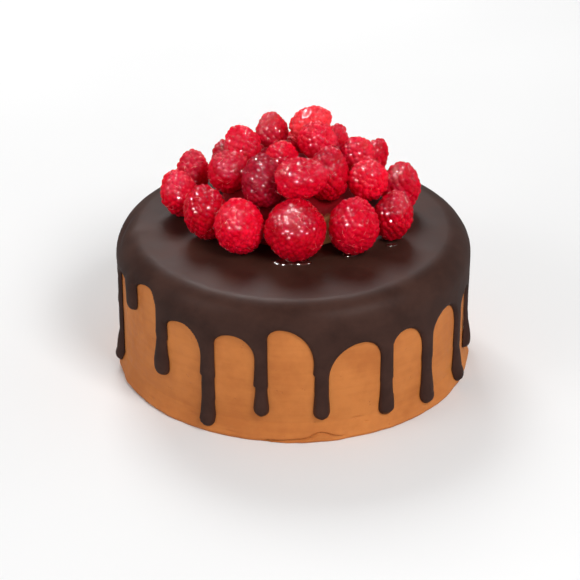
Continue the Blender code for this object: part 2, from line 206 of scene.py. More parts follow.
class Nodes:
    """Adds nodes to a tree and wires them in one go."""

    def __init__(self, tree: bpy.types.NodeTree) -> None:
        """Takes the tree to work in."""
        self.tree = tree

    def add(self, kind: str, settings: dict | None = None, **inputs: object) -> bpy.types.Node:
        """Adds one node.

        Args:
            kind: The node's type name.
            settings: Its own properties.
            inputs: A value or an output socket for each input, by name with _ for a space, or as i0, i1
                and so on where names repeat.

        Returns:
            The node.
        """
        made = self.tree.nodes.new(kind)
        for name, value in (settings or {}).items():
            setattr(made, name, value)
        for name, value in inputs.items():
            by_number = name[0] == "i" and name[1:].isdigit()
            self.feed(made.inputs[int(name[1:]) if by_number else name.replace("_", " ")], value)
        return made

    def feed(self, socket: Socket, value: object) -> None:
        """Wires an output socket to an input, or sets the input's value."""
        if isinstance(value, Socket):
            self.tree.links.new(value, socket)
        else:
            socket.default_value = value

    def blend(self, share: object, low: object, high: object) -> Socket:
        """A colour between two others.

        Args:
            share: 0 gives low and 1 gives high.
            low: A colour or a colour socket.
            high: A colour or a colour socket.

        Returns:
            The colour's socket.
        """
        made = self.tree.nodes.new("ShaderNodeMix")
        made.data_type = "RGBA"
        for number, value in zip(COLOUR_MIX_INPUTS, (share, low, high)):
            self.feed(made.inputs[number], value)
        return made.outputs[COLOUR_MIX_OUTPUT]

    def ramp(
        self, value: Socket, low: float, high: float, to_low: float = 0.0, to_high: float = 1.0
    ) -> Socket:
        """Maps a value from one range to another, smoothly and held at the ends.

        Args:
            value: The socket to map.
            low: Start of its range.
            high: End of its range.
            to_low: What low becomes.
            to_high: What high becomes.

        Returns:
            The mapped value's socket.
        """
        ends = {"From_Min": low, "From_Max": high, "To_Min": to_low, "To_Max": to_high}
        made = self.add("ShaderNodeMapRange", {"interpolation_type": "SMOOTHSTEP"}, Value=value, **ends)
        return made.outputs[0]

    def spread(self, value: Socket) -> Socket:
        """A noise value spread out from -0.5 to 0.5."""
        return self.ramp(value, 0.3, 0.7, -0.5, 0.5)

    def sum(self, first: object, second: object, factor: float = 1.0) -> Socket:
        """first plus second times a factor."""
        made = self.add("ShaderNodeMath", {"operation": "MULTIPLY_ADD"}, i0=second, i1=factor, i2=first)
        return made.outputs[0]

    def product(self, first: object, second: object) -> Socket:
        """first times second."""
        return self.add("ShaderNodeMath", {"operation": "MULTIPLY"}, i0=first, i1=second).outputs[0]

    def place(self) -> Socket:
        """The point of the surface, in the object's own coordinates."""
        return self.add("ShaderNodeTexCoord").outputs["Object"]

    def distance(self, where: Socket, middle: Triple) -> Socket:
        """How far the point lies from a middle."""
        made = self.add("ShaderNodeVectorMath", {"operation": "DISTANCE"}, i0=where, i1=middle)
        return made.outputs["Value"]

    def noise(self, where: Socket, scale: float, detail: float = 3.0, roughness: float = 0.5) -> Socket:
        """The value of a noise pattern."""
        values = {"Vector": where, "Scale": scale, "Detail": detail, "Roughness": roughness}
        return self.add("ShaderNodeTexNoise", None, **values).outputs["Fac"]

    def stretched(self, where: Socket, scale: Triple) -> Socket:
        """Coordinates scaled along each axis."""
        return self.add("ShaderNodeMapping", None, Vector=where, Scale=scale).outputs[0]

    def bump(self, height: Socket, relief: float, strength: float) -> Socket:
        """The normal of a surface with a fine relief."""
        made = self.add("ShaderNodeBump", None, Height=height, Distance=relief, Strength=strength)
        return made.outputs[0]


def colour(red: float, green: float, blue: float) -> tuple[float, float, float, float]:
    """A colour socket's value."""
    return (red, green, blue, 1.0)


SURFACE_OUTPUTS = {"Colour": "NodeSocketColor", "Roughness": "NodeSocketFloat", "Height": "NodeSocketFloat"}


def start_group(name: str, takes: dict[str, Triple]) -> tuple[Nodes, bpy.types.Node]:
    """Starts a shader node group for a surface.

    Args:
        name: The group's name.
        takes: First value for each colour that the group takes.

    Returns:
        The group's node adder, and its input node.
    """
    tree = bpy.data.node_groups.new(name, "ShaderNodeTree")
    for each, value in takes.items():
        socket = tree.interface.new_socket(name=each, in_out="INPUT", socket_type="NodeSocketColor")
        socket.default_value = colour(*value)
    for each, kind in SURFACE_OUTPUTS.items():
        tree.interface.new_socket(name=each, in_out="OUTPUT", socket_type=kind)
    nodes = Nodes(tree)
    return nodes, nodes.add("NodeGroupInput")


def end_group(nodes: Nodes, *outputs: Socket) -> bpy.types.NodeTree:
    """Ends a surface group.

    Args:
        nodes: The group's node adder.
        outputs: The sockets of the colour, the roughness and the height.

    Returns:
        The group.
    """
    end = nodes.add("NodeGroupOutput")
    for name, socket in zip(SURFACE_OUTPUTS, outputs):
        nodes.feed(end.inputs[name], socket)
    return nodes.tree


def cream_surface() -> bpy.types.NodeTree:
    """The node group for smoothed buttercream: mottled colour, spatula streaks, and air pores whose colour is
    darkened with painted shade.

    Returns:
        The group, with outputs Colour, Roughness and Height.
    """
    nodes, start = start_group("cream_surface", {"Light": (0.6, 0.2, 0.06), "Dark": (0.4, 0.12, 0.03)})
    where = nodes.place()
    broad = nodes.noise(where, 32.0, 4.0, 0.55)
    streak = nodes.noise(nodes.stretched(where, (22.0, 22.0, 420.0)), 1.0, 4.0, 0.6)
    grain = nodes.noise(where, 1500.0, 3.0, 0.6)
    speckle = nodes.noise(where, 260.0, 4.0, 0.6)
    pores = nodes.add("ShaderNodeTexVoronoi", {"feature": "F1"}, Vector=where, Scale=430.0, Randomness=1.0)
    chosen = nodes.ramp(nodes.noise(where, 170.0, 1.0), 0.60, 0.70)
    # The pores: a small dent in the height, and painted shade in the colour.
    pit_and_shade = nodes.ramp(pores.outputs["Distance"], 0.10, 0.24, 1.0, 0.0)
    pit_and_shade = nodes.product(pit_and_shade, chosen)
    share = nodes.sum(nodes.ramp(broad, 0.30, 0.70), nodes.spread(streak), 0.26)
    share = nodes.sum(share, nodes.spread(speckle), 0.24)
    # Painted shade: the colour is darkened inside the pores, where shade falls in the holes.
    share = nodes.sum(share, pit_and_shade, -0.75)
    base = nodes.blend(share, start.outputs["Dark"], start.outputs["Light"])
    rough = nodes.ramp(speckle, 0.25, 0.75, 0.42, 0.62)
    height = nodes.sum(streak, grain, 0.16)
    height = nodes.sum(height, speckle, 0.5)
    return end_group(nodes, base, rough, nodes.sum(height, pit_and_shade, -1.6))


def berry_surface() -> bpy.types.NodeTree:
    """The node group for a glazed raspberry's skin: ripe and paler patches, and a glaze of uneven gloss.

    Returns:
        The group, with outputs Colour, Roughness and Height.
    """
    nodes, start = start_group("berry_surface", {"Ripe": (0.5, 0.01, 0.02), "Fresh": (0.7, 0.03, 0.05)})
    where = nodes.place()
    patches = nodes.noise(where, 190.0, 3.0, 0.55)
    fine = nodes.noise(where, 900.0, 3.0, 0.6)
    share = nodes.sum(nodes.ramp(patches, 0.32, 0.68), nodes.spread(fine), 0.35)
    base = nodes.blend(share, start.outputs["Ripe"], start.outputs["Fresh"])
    rough = nodes.ramp(fine, 0.3, 0.7, 0.16, 0.34)
    return end_group(nodes, base, rough, nodes.sum(fine, patches, 0.8))


# ---------------------------------------------------------------- finishes


@dataclass
class Coat:
    """A material in the making: the material, its node adder and its Principled shader."""

    material: bpy.types.Material
    nodes: Nodes
    shader: bpy.types.Node

    @classmethod
    def start(cls, name: str) -> "Coat":
        """Starts a material.

        Args:
            name: The material's name.

        Returns:
            The material, ready for its nodes.
        """
        made = bpy.data.materials.new(name)
        made.use_nodes = True
        return cls(made, Nodes(made.node_tree), made.node_tree.nodes["Principled BSDF"])

    def feed(self, values: dict[str, object]) -> None:
        """Wires or sets inputs of the shader by name."""
        for name, value in values.items():
            self.nodes.feed(self.shader.inputs[name], value)

    def scatter(self, weight: float, radius: Triple, scale: float) -> None:
        """Sets how far light wanders under the surface.

        Args:
            weight: Share of the light that does.
            radius: Relative distance for red, green and blue.
            scale: The distance in metres for 1.
        """
        names = ("Subsurface Weight", "Subsurface Radius", "Subsurface Scale")
        self.feed(dict(zip(names, (weight, radius, scale))))

    def use_group(
        self, group: bpy.types.NodeTree, colours: dict[str, Triple], relief: float, strength: float
    ) -> None:
        """Feeds the shader from a surface group.

        Args:
            group: A group with outputs Colour, Roughness and Height.
            colours: The group's inputs.
            relief: Height of the relief in metres.
            strength: Strength of the bump.
        """
        values = {name: colour(*value) for name, value in colours.items()}
        surface = self.nodes.add("ShaderNodeGroup", {"node_tree": group}, **values)
        normal = self.nodes.bump(surface.outputs["Height"], relief, strength)
        base, rough = surface.outputs["Colour"], surface.outputs["Roughness"]
        self.feed({"Base Color": base, "Roughness": rough, "Normal": normal})


@dataclass(frozen=True)
class CreamFinish:
    """Caramel-coloured buttercream."""

    name: str = "buttercream_caramel"
    light: Triple = (0.57, 0.196, 0.049)
    dark: Triple = (0.46, 0.144, 0.034)
    relief: float = 0.00022
    strength: float = 0.55
    scatter: float = 0.10

    def make(self, group: bpy.types.NodeTree) -> bpy.types.Material:
        """Builds the material from the shared buttercream group."""
        coat = Coat.start(self.name)
        coat.use_group(group, {"Light": self.light, "Dark": self.dark}, self.relief, self.strength)
        coat.scatter(self.scatter, (1.0, 0.45, 0.2), 2.0 * MM)
        coat.feed({"Specular IOR Level": 0.16})
        return coat.material


@dataclass(frozen=True)
class MoundFinish:
    """Buttercream darkened dark red by raspberry juice and by painted shade in the gaps between the
    raspberries, clean only in a patch at the front.
    """

    name: str = "buttercream_stained_and_shaded"
    light: Triple = (0.86, 0.40, 0.160)
    dark: Triple = (0.68, 0.29, 0.105)
    # The dark red is partly a juice stain, partly painted shade in the gaps between the raspberries.
    juice_and_shade: Triple = (0.22, 0.003, 0.007)
    clean_patch: Triple = (14.0 * MM, -22.0 * MM, 76.0 * MM)
    clean_reach: tuple[float, float] = (6.0 * MM, 10.0 * MM)
    relief: float = 0.0003

    def make(self) -> bpy.types.Material:
        """Builds the material."""
        coat = Coat.start(self.name)
        nodes = coat.nodes
        where = nodes.place()
        broad = nodes.noise(where, 160.0, 4.0, 0.6)
        fine = nodes.noise(where, 700.0, 3.0, 0.6)
        away = nodes.distance(where, self.clean_patch)
        edge = nodes.sum(away, nodes.ramp(broad, 0.3, 0.7, -1.0, 1.0), 3.0 * MM)
        cream = nodes.blend(nodes.ramp(broad, 0.35, 0.65), colour(*self.dark), colour(*self.light))
        # Painted shade with juice: all but the clean patch is turned dark red.
        base = nodes.blend(nodes.ramp(edge, *self.clean_reach), cream, colour(*self.juice_and_shade))
        rough = nodes.ramp(fine, 0.3, 0.7, 0.30, 0.55)
        normal = nodes.bump(nodes.sum(broad, fine, 0.4), self.relief, 0.8)
        coat.feed({"Base Color": base, "Roughness": rough, "Normal": normal})
        coat.feed({"Specular IOR Level": 0.05})
        return coat.material


@dataclass(frozen=True)
class BerryFinish:
    """Glazed raspberry flesh of one ripeness."""

    ripeness: Ripeness
    ripe: Triple
    fresh: Triple
    relief: float = 0.00018
    strength: float = 0.35
    wet_scale: float = 480.0

    def make(self, group: bpy.types.NodeTree) -> bpy.types.Material:
        """Builds the material from the shared raspberry group, wet with syrup in spots."""
        coat = Coat.start(f"raspberry_{self.ripeness.value}")
        coat.use_group(group, {"Ripe": self.ripe, "Fresh": self.fresh}, self.relief, self.strength)
        coat.scatter(0.35, (1.0, 0.12, 0.14), 2.2 * MM)
        nodes = coat.nodes
        wet = nodes.ramp(nodes.noise(nodes.place(), self.wet_scale, 2.0, 0.5), 0.47, 0.54, 0.10, 1.0)
        coat.feed({"Coat Weight": wet, "Coat IOR": 1.36, "Coat Roughness": 0.05, "Specular IOR Level": 0.0})
        return coat.material


@dataclass(frozen=True)
class GanacheFinish:
    """Dark chocolate ganache with a satin skin, and a dark red patch under the raspberries that is partly a
    juice stain and partly painted shade.
    """

    name: str = "ganache_satin"
    dark: Triple = (0.036, 0.0130, 0.0085)
    light: Triple = (0.054, 0.0205, 0.0135)
    # Dark red under the raspberries: partly a juice stain, partly painted shade between and under them.
    juice_and_shade: Triple = (0.040, 0.0020, 0.0020)
    juice_and_shade_middle: Triple = (0.0, 12.0 * MM, 69.0 * MM)
    juice_and_shade_reach: tuple[float, float] = (43.0 * MM, 49.0 * MM)
    relief: float = 0.0002

    def make(self) -> bpy.types.Material:
        """Builds the material."""
        coat = Coat.start(self.name)
        nodes = coat.nodes
        where = nodes.place()
        broad = nodes.noise(where, 60.0, 4.0, 0.55)
        fine = nodes.noise(where, 420.0, 4.0, 0.6)
        share = nodes.sum(nodes.ramp(broad, 0.3, 0.7), nodes.spread(fine), 0.3)
        base = nodes.blend(share, colour(*self.dark), colour(*self.light))
        # Painted shade with juice: the ganache turns dark red within reach of the middle of the raspberry
        # heap.
        away = nodes.distance(where, self.juice_and_shade_middle)
        edge = nodes.sum(away, nodes.ramp(fine, 0.3, 0.7, -1.0, 1.0), 2.0 * MM)
        base = nodes.blend(nodes.ramp(edge, *self.juice_and_shade_reach), colour(*self.juice_and_shade), base)
        rough = nodes.ramp(nodes.sum(broad, fine, 0.35), 0.45, 0.9, 0.46, 0.56)
        gloss = nodes.ramp(broad, 0.35, 0.65, 0.02, 0.06)
        normal = nodes.bump(nodes.sum(broad, fine, 0.12), self.relief, 0.6)
        coat.feed({"Base Color": base, "Roughness": rough, "Coat Weight": gloss, "Normal": normal})
        coat.feed({"Coat Roughness": 0.22, "Specular IOR Level": 0.26})
        return coat.material


@dataclass(frozen=True)
class HairFinish:
    """The fine pale hairs on a raspberry."""

    name: str = "raspberry_hair"
    root: Triple = (0.72, 0.08, 0.08)
    end: Triple = (0.90, 0.30, 0.26)

    def make(self) -> bpy.types.Material:
        """Builds the material."""
        coat = Coat.start(self.name)
        nodes = coat.nodes
        share = nodes.ramp(nodes.noise(nodes.place(), 700.0, 2.0), 0.35, 0.65)
        base = nodes.blend(share, colour(*self.root), colour(*self.end))
        coat.feed({"Base Color": base, "Roughness": nodes.ramp(share, 0.0, 1.0, 0.3, 0.5)})
        return coat.material


@dataclass(frozen=True)
class GlazeFinish:
    """Clear syrup that has run off the raspberries onto the dark ganache."""

    name: str = "syrup_on_ganache"
    dark: Triple = (0.030, 0.008, 0.006)
    light: Triple = (0.075, 0.016, 0.012)

    def make(self) -> bpy.types.Material:
        """Builds the material."""
        coat = Coat.start(self.name)
        nodes = coat.nodes
        share = nodes.ramp(nodes.noise(nodes.place(), 300.0, 2.0), 0.35, 0.65)
        base = nodes.blend(share, colour(*self.dark), colour(*self.light))
        coat.feed({"Base Color": base, "Roughness": nodes.ramp(share, 0.0, 1.0, 0.04, 0.12)})
        coat.feed({"Coat Weight": 1.0, "Coat Roughness": 0.03})
        return coat.material


@dataclass(frozen=True)
class FloorFinish:
    """The plain pale floor."""

    name: str = "pale_floor"
    dark: Triple = (0.84, 0.84, 0.84)
    light: Triple = (0.88, 0.88, 0.88)

    def make(self) -> bpy.types.Material:
        """Builds the material."""
        coat = Coat.start(self.name)
        nodes = coat.nodes
        share = nodes.ramp(nodes.noise(nodes.place(), 3.0, 2.0), 0.3, 0.7)
        coat.feed({"Base Color": nodes.blend(share, colour(*self.dark), colour(*self.light))})
        coat.feed({"Roughness": 0.7, "Specular IOR Level": 0.2})
        return coat.material


# ---------------------------------------------------------------- the form of the cake


@dataclass(frozen=True)
class CakeForm:
    """Sizes of the drum that the wall and the ganache follow."""

    radius: float = 82.6 * MM
    height: float = 67.0 * MM
    shoulder: float = 10.0 * MM
    shoulder_steps: int = 16
    lip_radius: float = 85.2 * MM
    lip_edge_height: float = 1.5 * MM
    lip_height: float = 9.0 * MM
    arc_radius: float = 84.0 * MM
    clearance: float = 0.3 * MM

    def profile(self, offset: float) -> np.ndarray:
        """Radius and height from the base up to the edge of the flat top, moved outwards by offset."""
        middle_radius = self.radius - self.shoulder
        middle_height = self.height - self.shoulder
        outer = self.shoulder + offset
        wall = [
            (self.lip_radius + offset, 0.0),
            (self.lip_radius + offset, self.lip_edge_height),
            (self.radius + offset, self.lip_height),
        ]
        turns = np.radians(np.linspace(0, 90, self.shoulder_steps + 1))
        arc = np.column_stack([middle_radius + outer * np.cos(turns), middle_height + outer * np.sin(turns)])
        return np.concatenate([wall, arc])

    def lengths(self, offset: float) -> np.ndarray:
        """Length along the profile at each of its points."""
        steps = np.linalg.norm(np.diff(self.profile(offset), axis=0), axis=1)
        return np.concatenate([[0.0], np.cumsum(steps)])

    def crown(self, offset: float) -> float:
        """Length of the profile from the base to the edge of the flat top."""
        return float(self.lengths(offset)[-1])

    def roll_up(self, across: np.ndarray, up: np.ndarray, offset: float) -> np.ndarray:
        """Carries points of the unrolled wall to their places on the cake.

        Args:
            across: Bearing times the arc radius.
            up: Length along the profile from the base.
            offset: How far outside the buttercream they lie.

        Returns:
            Rows of x, y and z.
        """
        lengths, profile = self.lengths(offset), self.profile(offset)
        radius = np.interp(up, lengths, profile[:, 0])
        height = np.interp(up, lengths, profile[:, 1])
        bearing = across / self.arc_radius
        return np.stack([radius * np.sin(bearing), -radius * np.cos(bearing), height], axis=-1)


@dataclass(frozen=True)
class Tear:
    """A small tear in the buttercream: its bearing in degrees, and its place and sizes in millimetres."""

    bearing: float
    height: float
    wide: float
    tall: float
    depth: float

    def depth_at(self, points: np.ndarray, ragged: np.ndarray, radius: float) -> np.ndarray:
        """How deep the tear is at each point, in metres.

        Args:
            points: Rows of x, y and z.
            ragged: How far its outline wanders at each point, in metres.
            radius: Radius of the wall that it lies in.

        Returns:
            One depth for each point.
        """
        across = np.radians(bearings(points) - self.bearing) * radius / MM
        up = (points[:, 2] + 0.6 * ragged) / MM - self.height
        return self.depth * MM * np.exp(-((across / self.wide) ** 2) - (up / self.tall) ** 2)


@dataclass
class CreamWall:
    """The buttercream drum: smoothed with a spatula, with an uneven foot and small tears at the front."""

    form: CakeForm
    columns: int = 620
    foot_rows: int = 26
    wall_rows: int = 46
    shoulder_rows: int = 8
    swell: Relief = Relief(26 * MM, 0.28 * MM, 3.1)
    streak: Relief = Relief(4.0 * MM, 0.10 * MM, 7.7, (9, 9, 1))
    foot_swell: Relief = Relief(11 * MM, 0.75 * MM, 1.9, (1, 1, 2))
    foot_crumbs: Relief = Relief(3.2 * MM, 0.32 * MM, 5.2, (1.4, 1.4, 0.8))
    ragged: Relief = Relief(2.2 * MM, 0.3 * MM, 4.4)
    foot_inset: float = 0.45 * MM
    crack_depth: float = 1.5 * MM
    crack_width: float = 0.42 * MM
    crack_lip: float = 0.5 * MM
    crack_start: tuple[float, float] = (-10.0, -7.0)
    crack_end: tuple[float, float] = (14.0, 18.0)
    foot_zone: tuple[float, float] = (2.0 * MM, 9.5 * MM)
    still_foot: float = 0.4
    top_margin: float = 8 * MM
    crack: tuple[tuple[float, float], ...] = (
        (-9.0, 0.5),
        (-5.8, 0.7),
        (3.9, 1.7),
        (4.6, 2.1),
        (8.2, 4.0),
        (10.5, 3.2),
        (13.3, 1.9),
        (17.0, 1.2),
    )
    tears: tuple[Tear, ...] = (
        Tear(20.9, 8.8, 2.6, 0.45, 0.8),
        Tear(23.6, 6.1, 1.0, 0.4, 0.7),
        Tear(18.4, 3.2, 0.6, 0.5, 0.5),
        Tear(11.5, 1.4, 1.6, 0.45, 0.8),
        Tear(-34.0, 6.5, 1.8, 0.4, 0.6),
        Tear(-52.0, 4.0, 1.2, 0.4, 0.6),
        Tear(47.0, 3.6, 1.6, 0.4, 0.6),
        Tear(-20.0, 2.6, 2.2, 0.5, 0.7),
    )

    def levels(self) -> np.ndarray:
        """Profile lengths of the rows of vertices, close together at the foot."""
        lengths = self.form.lengths(0.0)
        foot = np.linspace(0, lengths[2] + 0.5 * MM, self.foot_rows + 1)
        wall = np.linspace(foot[-1], lengths[3], self.wall_rows + 1)[1:]
        shoulder = np.linspace(lengths[3], lengths[-1], self.shoulder_rows + 1)[1:]
        return np.concatenate([foot, wall, shoulder])

    def crack_at(self, points: np.ndarray, ragged: np.ndarray) -> np.ndarray:
        """How deep the crack at the front of the foot is at each point, less than 0 on the lip below it."""
        bearing, up = bearings(points), points[:, 2]
        spots = np.array(self.crack)
        line = np.interp(bearing, spots[:, 0], spots[:, 1]) * MM
        window = smoothstep(*self.crack_start, bearing) * (1 - smoothstep(*self.crack_end, bearing))
        gap = self.crack_depth * np.exp(-(((up - line + ragged) / self.crack_width) ** 2))
        lip = self.crack_lip * smoothstep(0.0, 0.6 * MM, line - up) * (up < line + 1 * MM)
        return window * (gap - lip)

    def bulge(self, points: np.ndarray) -> np.ndarray:
        """How far the surface stands out at each point, in metres."""
        up = points[:, 2]
        low = 1 - smoothstep(*self.foot_zone, up)
        outward = self.swell.at(points) + self.streak.at(points)
        outward += low * (self.foot_swell.at(points) + self.foot_crumbs.at(points))
        outward *= smoothstep(-0.5 * MM, 1.2 * MM, up) * (1 - self.still_foot) + self.still_foot
        outward -= (1 - smoothstep(0.0, 1.1 * MM, up)) * self.foot_inset
        ragged = self.ragged.at(points)
        outward -= self.crack_at(points, ragged)
        for tear in self.tears:
            outward -= tear.depth_at(points, ragged, self.form.radius)
        return outward

    def build(self) -> bpy.types.Object:
        """Models the drum from a cylinder whose wall is divided, shaped and roughened.

        Returns:
            The finished piece.
        """
        levels = self.levels()
        bpy.ops.mesh.primitive_cylinder_add(
            vertices=self.columns, radius=1.0, depth=1.0, end_fill_type="TRIFAN", location=(0, 0, 0.5)
        )
        piece = bpy.context.active_object
        select_only(piece)
        bpy.ops.object.transform_apply(location=True, rotation=False, scale=False)
        mesh = piece.data
        points, ends = places(mesh), edge_ends(mesh)
        upright = np.abs(points[ends[:, 0], 2] - points[ends[:, 1], 2]) > 0.5
        pick(mesh, "edges", upright)
        with editing(piece, "EDGE"):
            bpy.ops.mesh.subdivide_edgering(number_cuts=len(levels) - 2, interpolation="LINEAR")
        points = places(mesh)
        turn = np.arctan2(points[:, 0], -points[:, 1])
        row = np.clip(np.rint(points[:, 2] * (len(levels) - 1)).astype(int), 0, len(levels) - 1)
        shaped = self.form.roll_up(turn * self.form.arc_radius, levels[row], 0.0)
        centre = np.hypot(points[:, 0], points[:, 1]) < 0.5
        shaped[centre, :2] = 0.0
        out = self.bulge(shaped) * ~centre
        out *= 1 - smoothstep(self.form.height - self.top_margin, self.form.height, shaped[:, 2])
        shaped[:, 0] += np.sin(turn) * out
        shaped[:, 1] -= np.cos(turn) * out
        move_to(mesh, shaped)
        settle(piece, "buttercream_wall")
        return piece

    def dress(self, piece: bpy.types.Object, finish: bpy.types.Material) -> None:
        """Gives the wall its finish and its place in the frame."""
        piece.data.materials.append(finish)
        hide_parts("cake")
        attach(piece, BODY)


# ---------------------------------------------------------------- the ganache


@dataclass(frozen=True)
class Drip:
    """One drip: bearing in degrees, and the height of its tip and its widths in millimetres.

    Each notch is a height, and how far the left and the right flank stand out above it, as where a
    first run of ganache stopped and a later one went on down.
    """

    bearing: float
    tip: float
    neck: float
    bulb: float
    notches: tuple[Triple, ...] = ()
    step_height: float = 0.45
    ledge_height: float = 7.0
    undercut_share: float = 0.35
    undercut_height: float = 3.0
    neck_share: float = 1.3

    def half_width(self, height: float, side: int = 1) -> float:
        """Half the drip's width at a height, on its left (-1) or right (1) side."""
        over_tip, radius = height - self.tip, self.bulb / 2
        if over_tip <= radius:
            return radius * math.sqrt(max(0.0, 1 - (1 - over_tip / radius) ** 2))
        blend = min(1.0, (over_tip - radius) / (self.neck_share * self.bulb))
        smooth = blend * blend * (3 - 2 * blend)
        width = (self.bulb + (self.neck - self.bulb) * smooth) / 2
        for at, left, right in self.notches:
            above = height - at
            step = 0.5 + 0.5 * math.tanh(above / self.step_height)
            ledge = step * math.exp(-max(0.0, above) / self.ledge_height)
            undercut = self.undercut_share * (1 - step) * math.exp(above / self.undercut_height)
            width += (left if side < 0 else right) * (ledge - undercut)
        return width


@dataclass(frozen=True)
class Arch:
    """The arched gap to the next drip: its height, where its top lies, and how far its flanks drop."""

    height: float
    share: float
    left_drop: float
    right_drop: float


@dataclass
class Ganache:
    """The poured ganache: a skin over the top and the shoulder that ends in drips with rounded ends."""

    form: CakeForm
    cell: float = 0.8 * MM
    skin: float = 1.7 * MM
    bulb_depth: float = 3.4 * MM
    edge_depth: float = 0.3 * MM
    rounding: float = 2.6 * MM
    bulb_rounding: float = 1.2 * MM
    top_wave: Relief = Relief(17 * MM, 0.16 * MM, 2.3)
    top_ripple: Relief = Relief(6 * MM, 0.07 * MM, 8.3)
    fold_bearing: float = -92.0
    fold_reach: float = 8.0
    fold_pitch: float = 4.6 * MM
    fold_lean: float = 24.0
    fold_depth: float = 1.15 * MM
    back_count: int = 12
    back_seed: int = 7
    back_tips: tuple[float, ...] = (6.0, 9.0, 14.0, 20.0, 27.0, 36.0)
    top_rings: int = 17
    top_hole: float = 21 * MM
    edge_step: float = 0.1 * MM
    keep_share: float = 0.42
    relax_cells: int = 4
    relax_rounds: int = 8
    foot_share: float = 0.75
    bulb_middle: float = 0.6
    bulb_stretch: float = 0.62
    bulb_reach: float = 0.95
    wave_start: tuple[float, float] = (0.4 * MM, 1.4 * MM)
    fold_height: tuple[float, float] = (44 * MM, 50 * MM)
    fold_radius: tuple[float, float] = (60 * MM, 76 * MM)
    front_drips: tuple[Drip, ...] = (
        Drip(-80.5, 3.4, 6.0, 8.0),
        Drip(-64.0, 43.6, 8.0, 8.8),
        Drip(-47.0, 20.2, 7.0, 9.4, ((40.0, 0.5, 0.5), (27.0, 0.3, 0.2))),
        Drip(-28.2, 3.0, 7.0, 8.0, ((29.0, 0.9, 0.4), (17.0, 0.0, 0.3))),
        Drip(-10.2, 12.8, 5.9, 7.4, ((28.0, 0.9, 0.3),)),
        Drip(8.9, 11.2, 6.8, 7.9, ((34.5, 0.7, 0.4),)),
        Drip(31.0, 7.5, 6.8, 8.2, ((26.0, 0.2, 0.3),)),
        Drip(48.2, 4.3, 7.0, 8.6, ((28.0, 0.2, 0.4),)),
        Drip(68.0, 2.0, 6.2, 8.6, ((22.0, 0.5, 0.4),)),
        Drip(82.0, 9.0, 4.6, 8.0),
    )
    front_arches: tuple[Arch, ...] = (
        Arch(56.0, 0.50, 6.0, 8.0),
        Arch(61.5, 0.60, 5.0, 8.0),
        Arch(52.6, 0.48, 5.0, 14.0),
        Arch(53.0, 0.45, 6.0, 11.0),
        Arch(58.3, 0.27, 5.0, 18.0),
        Arch(48.9, 0.62, 17.0, 10.0),
        Arch(49.2, 0.38, 6.0, 14.0),
        Arch(49.0, 0.48, 10.0, 15.0),
        Arch(46.5, 0.50, 6.0, 8.0),
    )
    drips: list[Drip] = field(default_factory=list)
    arches: list[Arch] = field(default_factory=list)

    def lay_out(self) -> None:
        """Adds the drips round the back to those of the front, in order of bearing."""
        dice = random.Random(self.back_seed)
        first, last = self.front_drips[-1].bearing, self.front_drips[0].bearing + 360
        pitch = (last - first) / (self.back_count + 1)
        self.drips, self.arches = list(self.front_drips), list(self.front_arches)
        for number in range(1, self.back_count + 1):
            bearing = first + pitch * (number + dice.uniform(-0.14, 0.14))
            tip = dice.choice(self.back_tips) + dice.uniform(-1.5, 1.5)
            neck = dice.uniform(6.0, 7.2)
            self.drips.append(Drip(bearing, tip, neck, neck + dice.uniform(0.8, 1.6)))
        for _ in range(self.back_count + 1):
            height = dice.uniform(48.0, 56.0)
            left, right = dice.uniform(5.0, 12.0), dice.uniform(5.0, 12.0)
            self.arches.append(Arch(height, dice.uniform(0.35, 0.65), left, right))

    def flat(self, bearing: float, sideways: float, height: float) -> tuple[float, float]:
        """A point of the unrolled wall in metres, from degrees and millimetres."""
        return (math.radians(bearing) * self.form.arc_radius + sideways * MM, height * MM)

    def foot(self, drip: Drip, height: float, drop: float) -> float:
        """Where a drip's flank ends and the arch beside it begins."""
        return max(height - drop, min(drip.tip + self.foot_share * drip.bulb, height - 2.0))

    def flank(self, drip: Drip, side: int, foot: float) -> list[tuple[float, float]]:
        """Points of one flank of a drip, upwards from its tip to the foot of the arch."""
        round_end = drip.tip + drip.bulb / 2 * (1 - np.cos(np.radians(np.arange(12, 91, 13))))
        straight = np.arange(drip.tip + drip.bulb * 0.55, foot - 0.4, 0.6)
        heights = [height for height in (*round_end, *straight) if height < foot - 0.3] + [foot]
        return [self.flat(drip.bearing, side * drip.half_width(height, side), height) for height in heights]

    def arch_curve(self, left: Drip, right: Drip, arch: Arch) -> list[tuple[float, float]]:
        """Points of one arch from its left foot to its right foot, both left out."""
        left_foot = self.foot(left, arch.height, arch.left_drop)
        right_foot = self.foot(right, arch.height, arch.right_drop)
        start = np.array(self.flat(left.bearing, left.half_width(left_foot), left_foot))
        end = np.array(self.flat(right.bearing, -right.half_width(right_foot, -1), right_foot))
        top = np.array([start[0] + (end[0] - start[0]) * arch.share, arch.height * MM])
        points = []
        for side, turns in ((start, range(7, 91, 7)), (end, range(84, 0, -7))):
            for turn in turns:
                bend = np.array([1 - math.cos(math.radians(turn)), math.sin(math.radians(turn))])
                points.append(tuple(side + (top - side) * bend))
        return points

    def edge(self) -> np.ndarray:
        """The lower edge of the ganache over one full turn, unrolled from left to right."""
        points: list[tuple[float, float]] = []
        for index, drip in enumerate(self.drips):
            before, after = self.arches[index - 1], self.arches[index]
            left = self.flank(drip, -1, self.foot(drip, before.height, before.right_drop))
            right = self.flank(drip, 1, self.foot(drip, after.height, after.left_drop))
            points += [*reversed(left), self.flat(drip.bearing, 0.0, drip.tip), *right]
            following = self.drips[(index + 1) % len(self.drips)]
            if index + 1 == len(self.drips):
                following = Drip(following.bearing + 360, following.tip, following.neck, following.bulb)
            points += self.arch_curve(drip, following, after)
        return np.array(points)

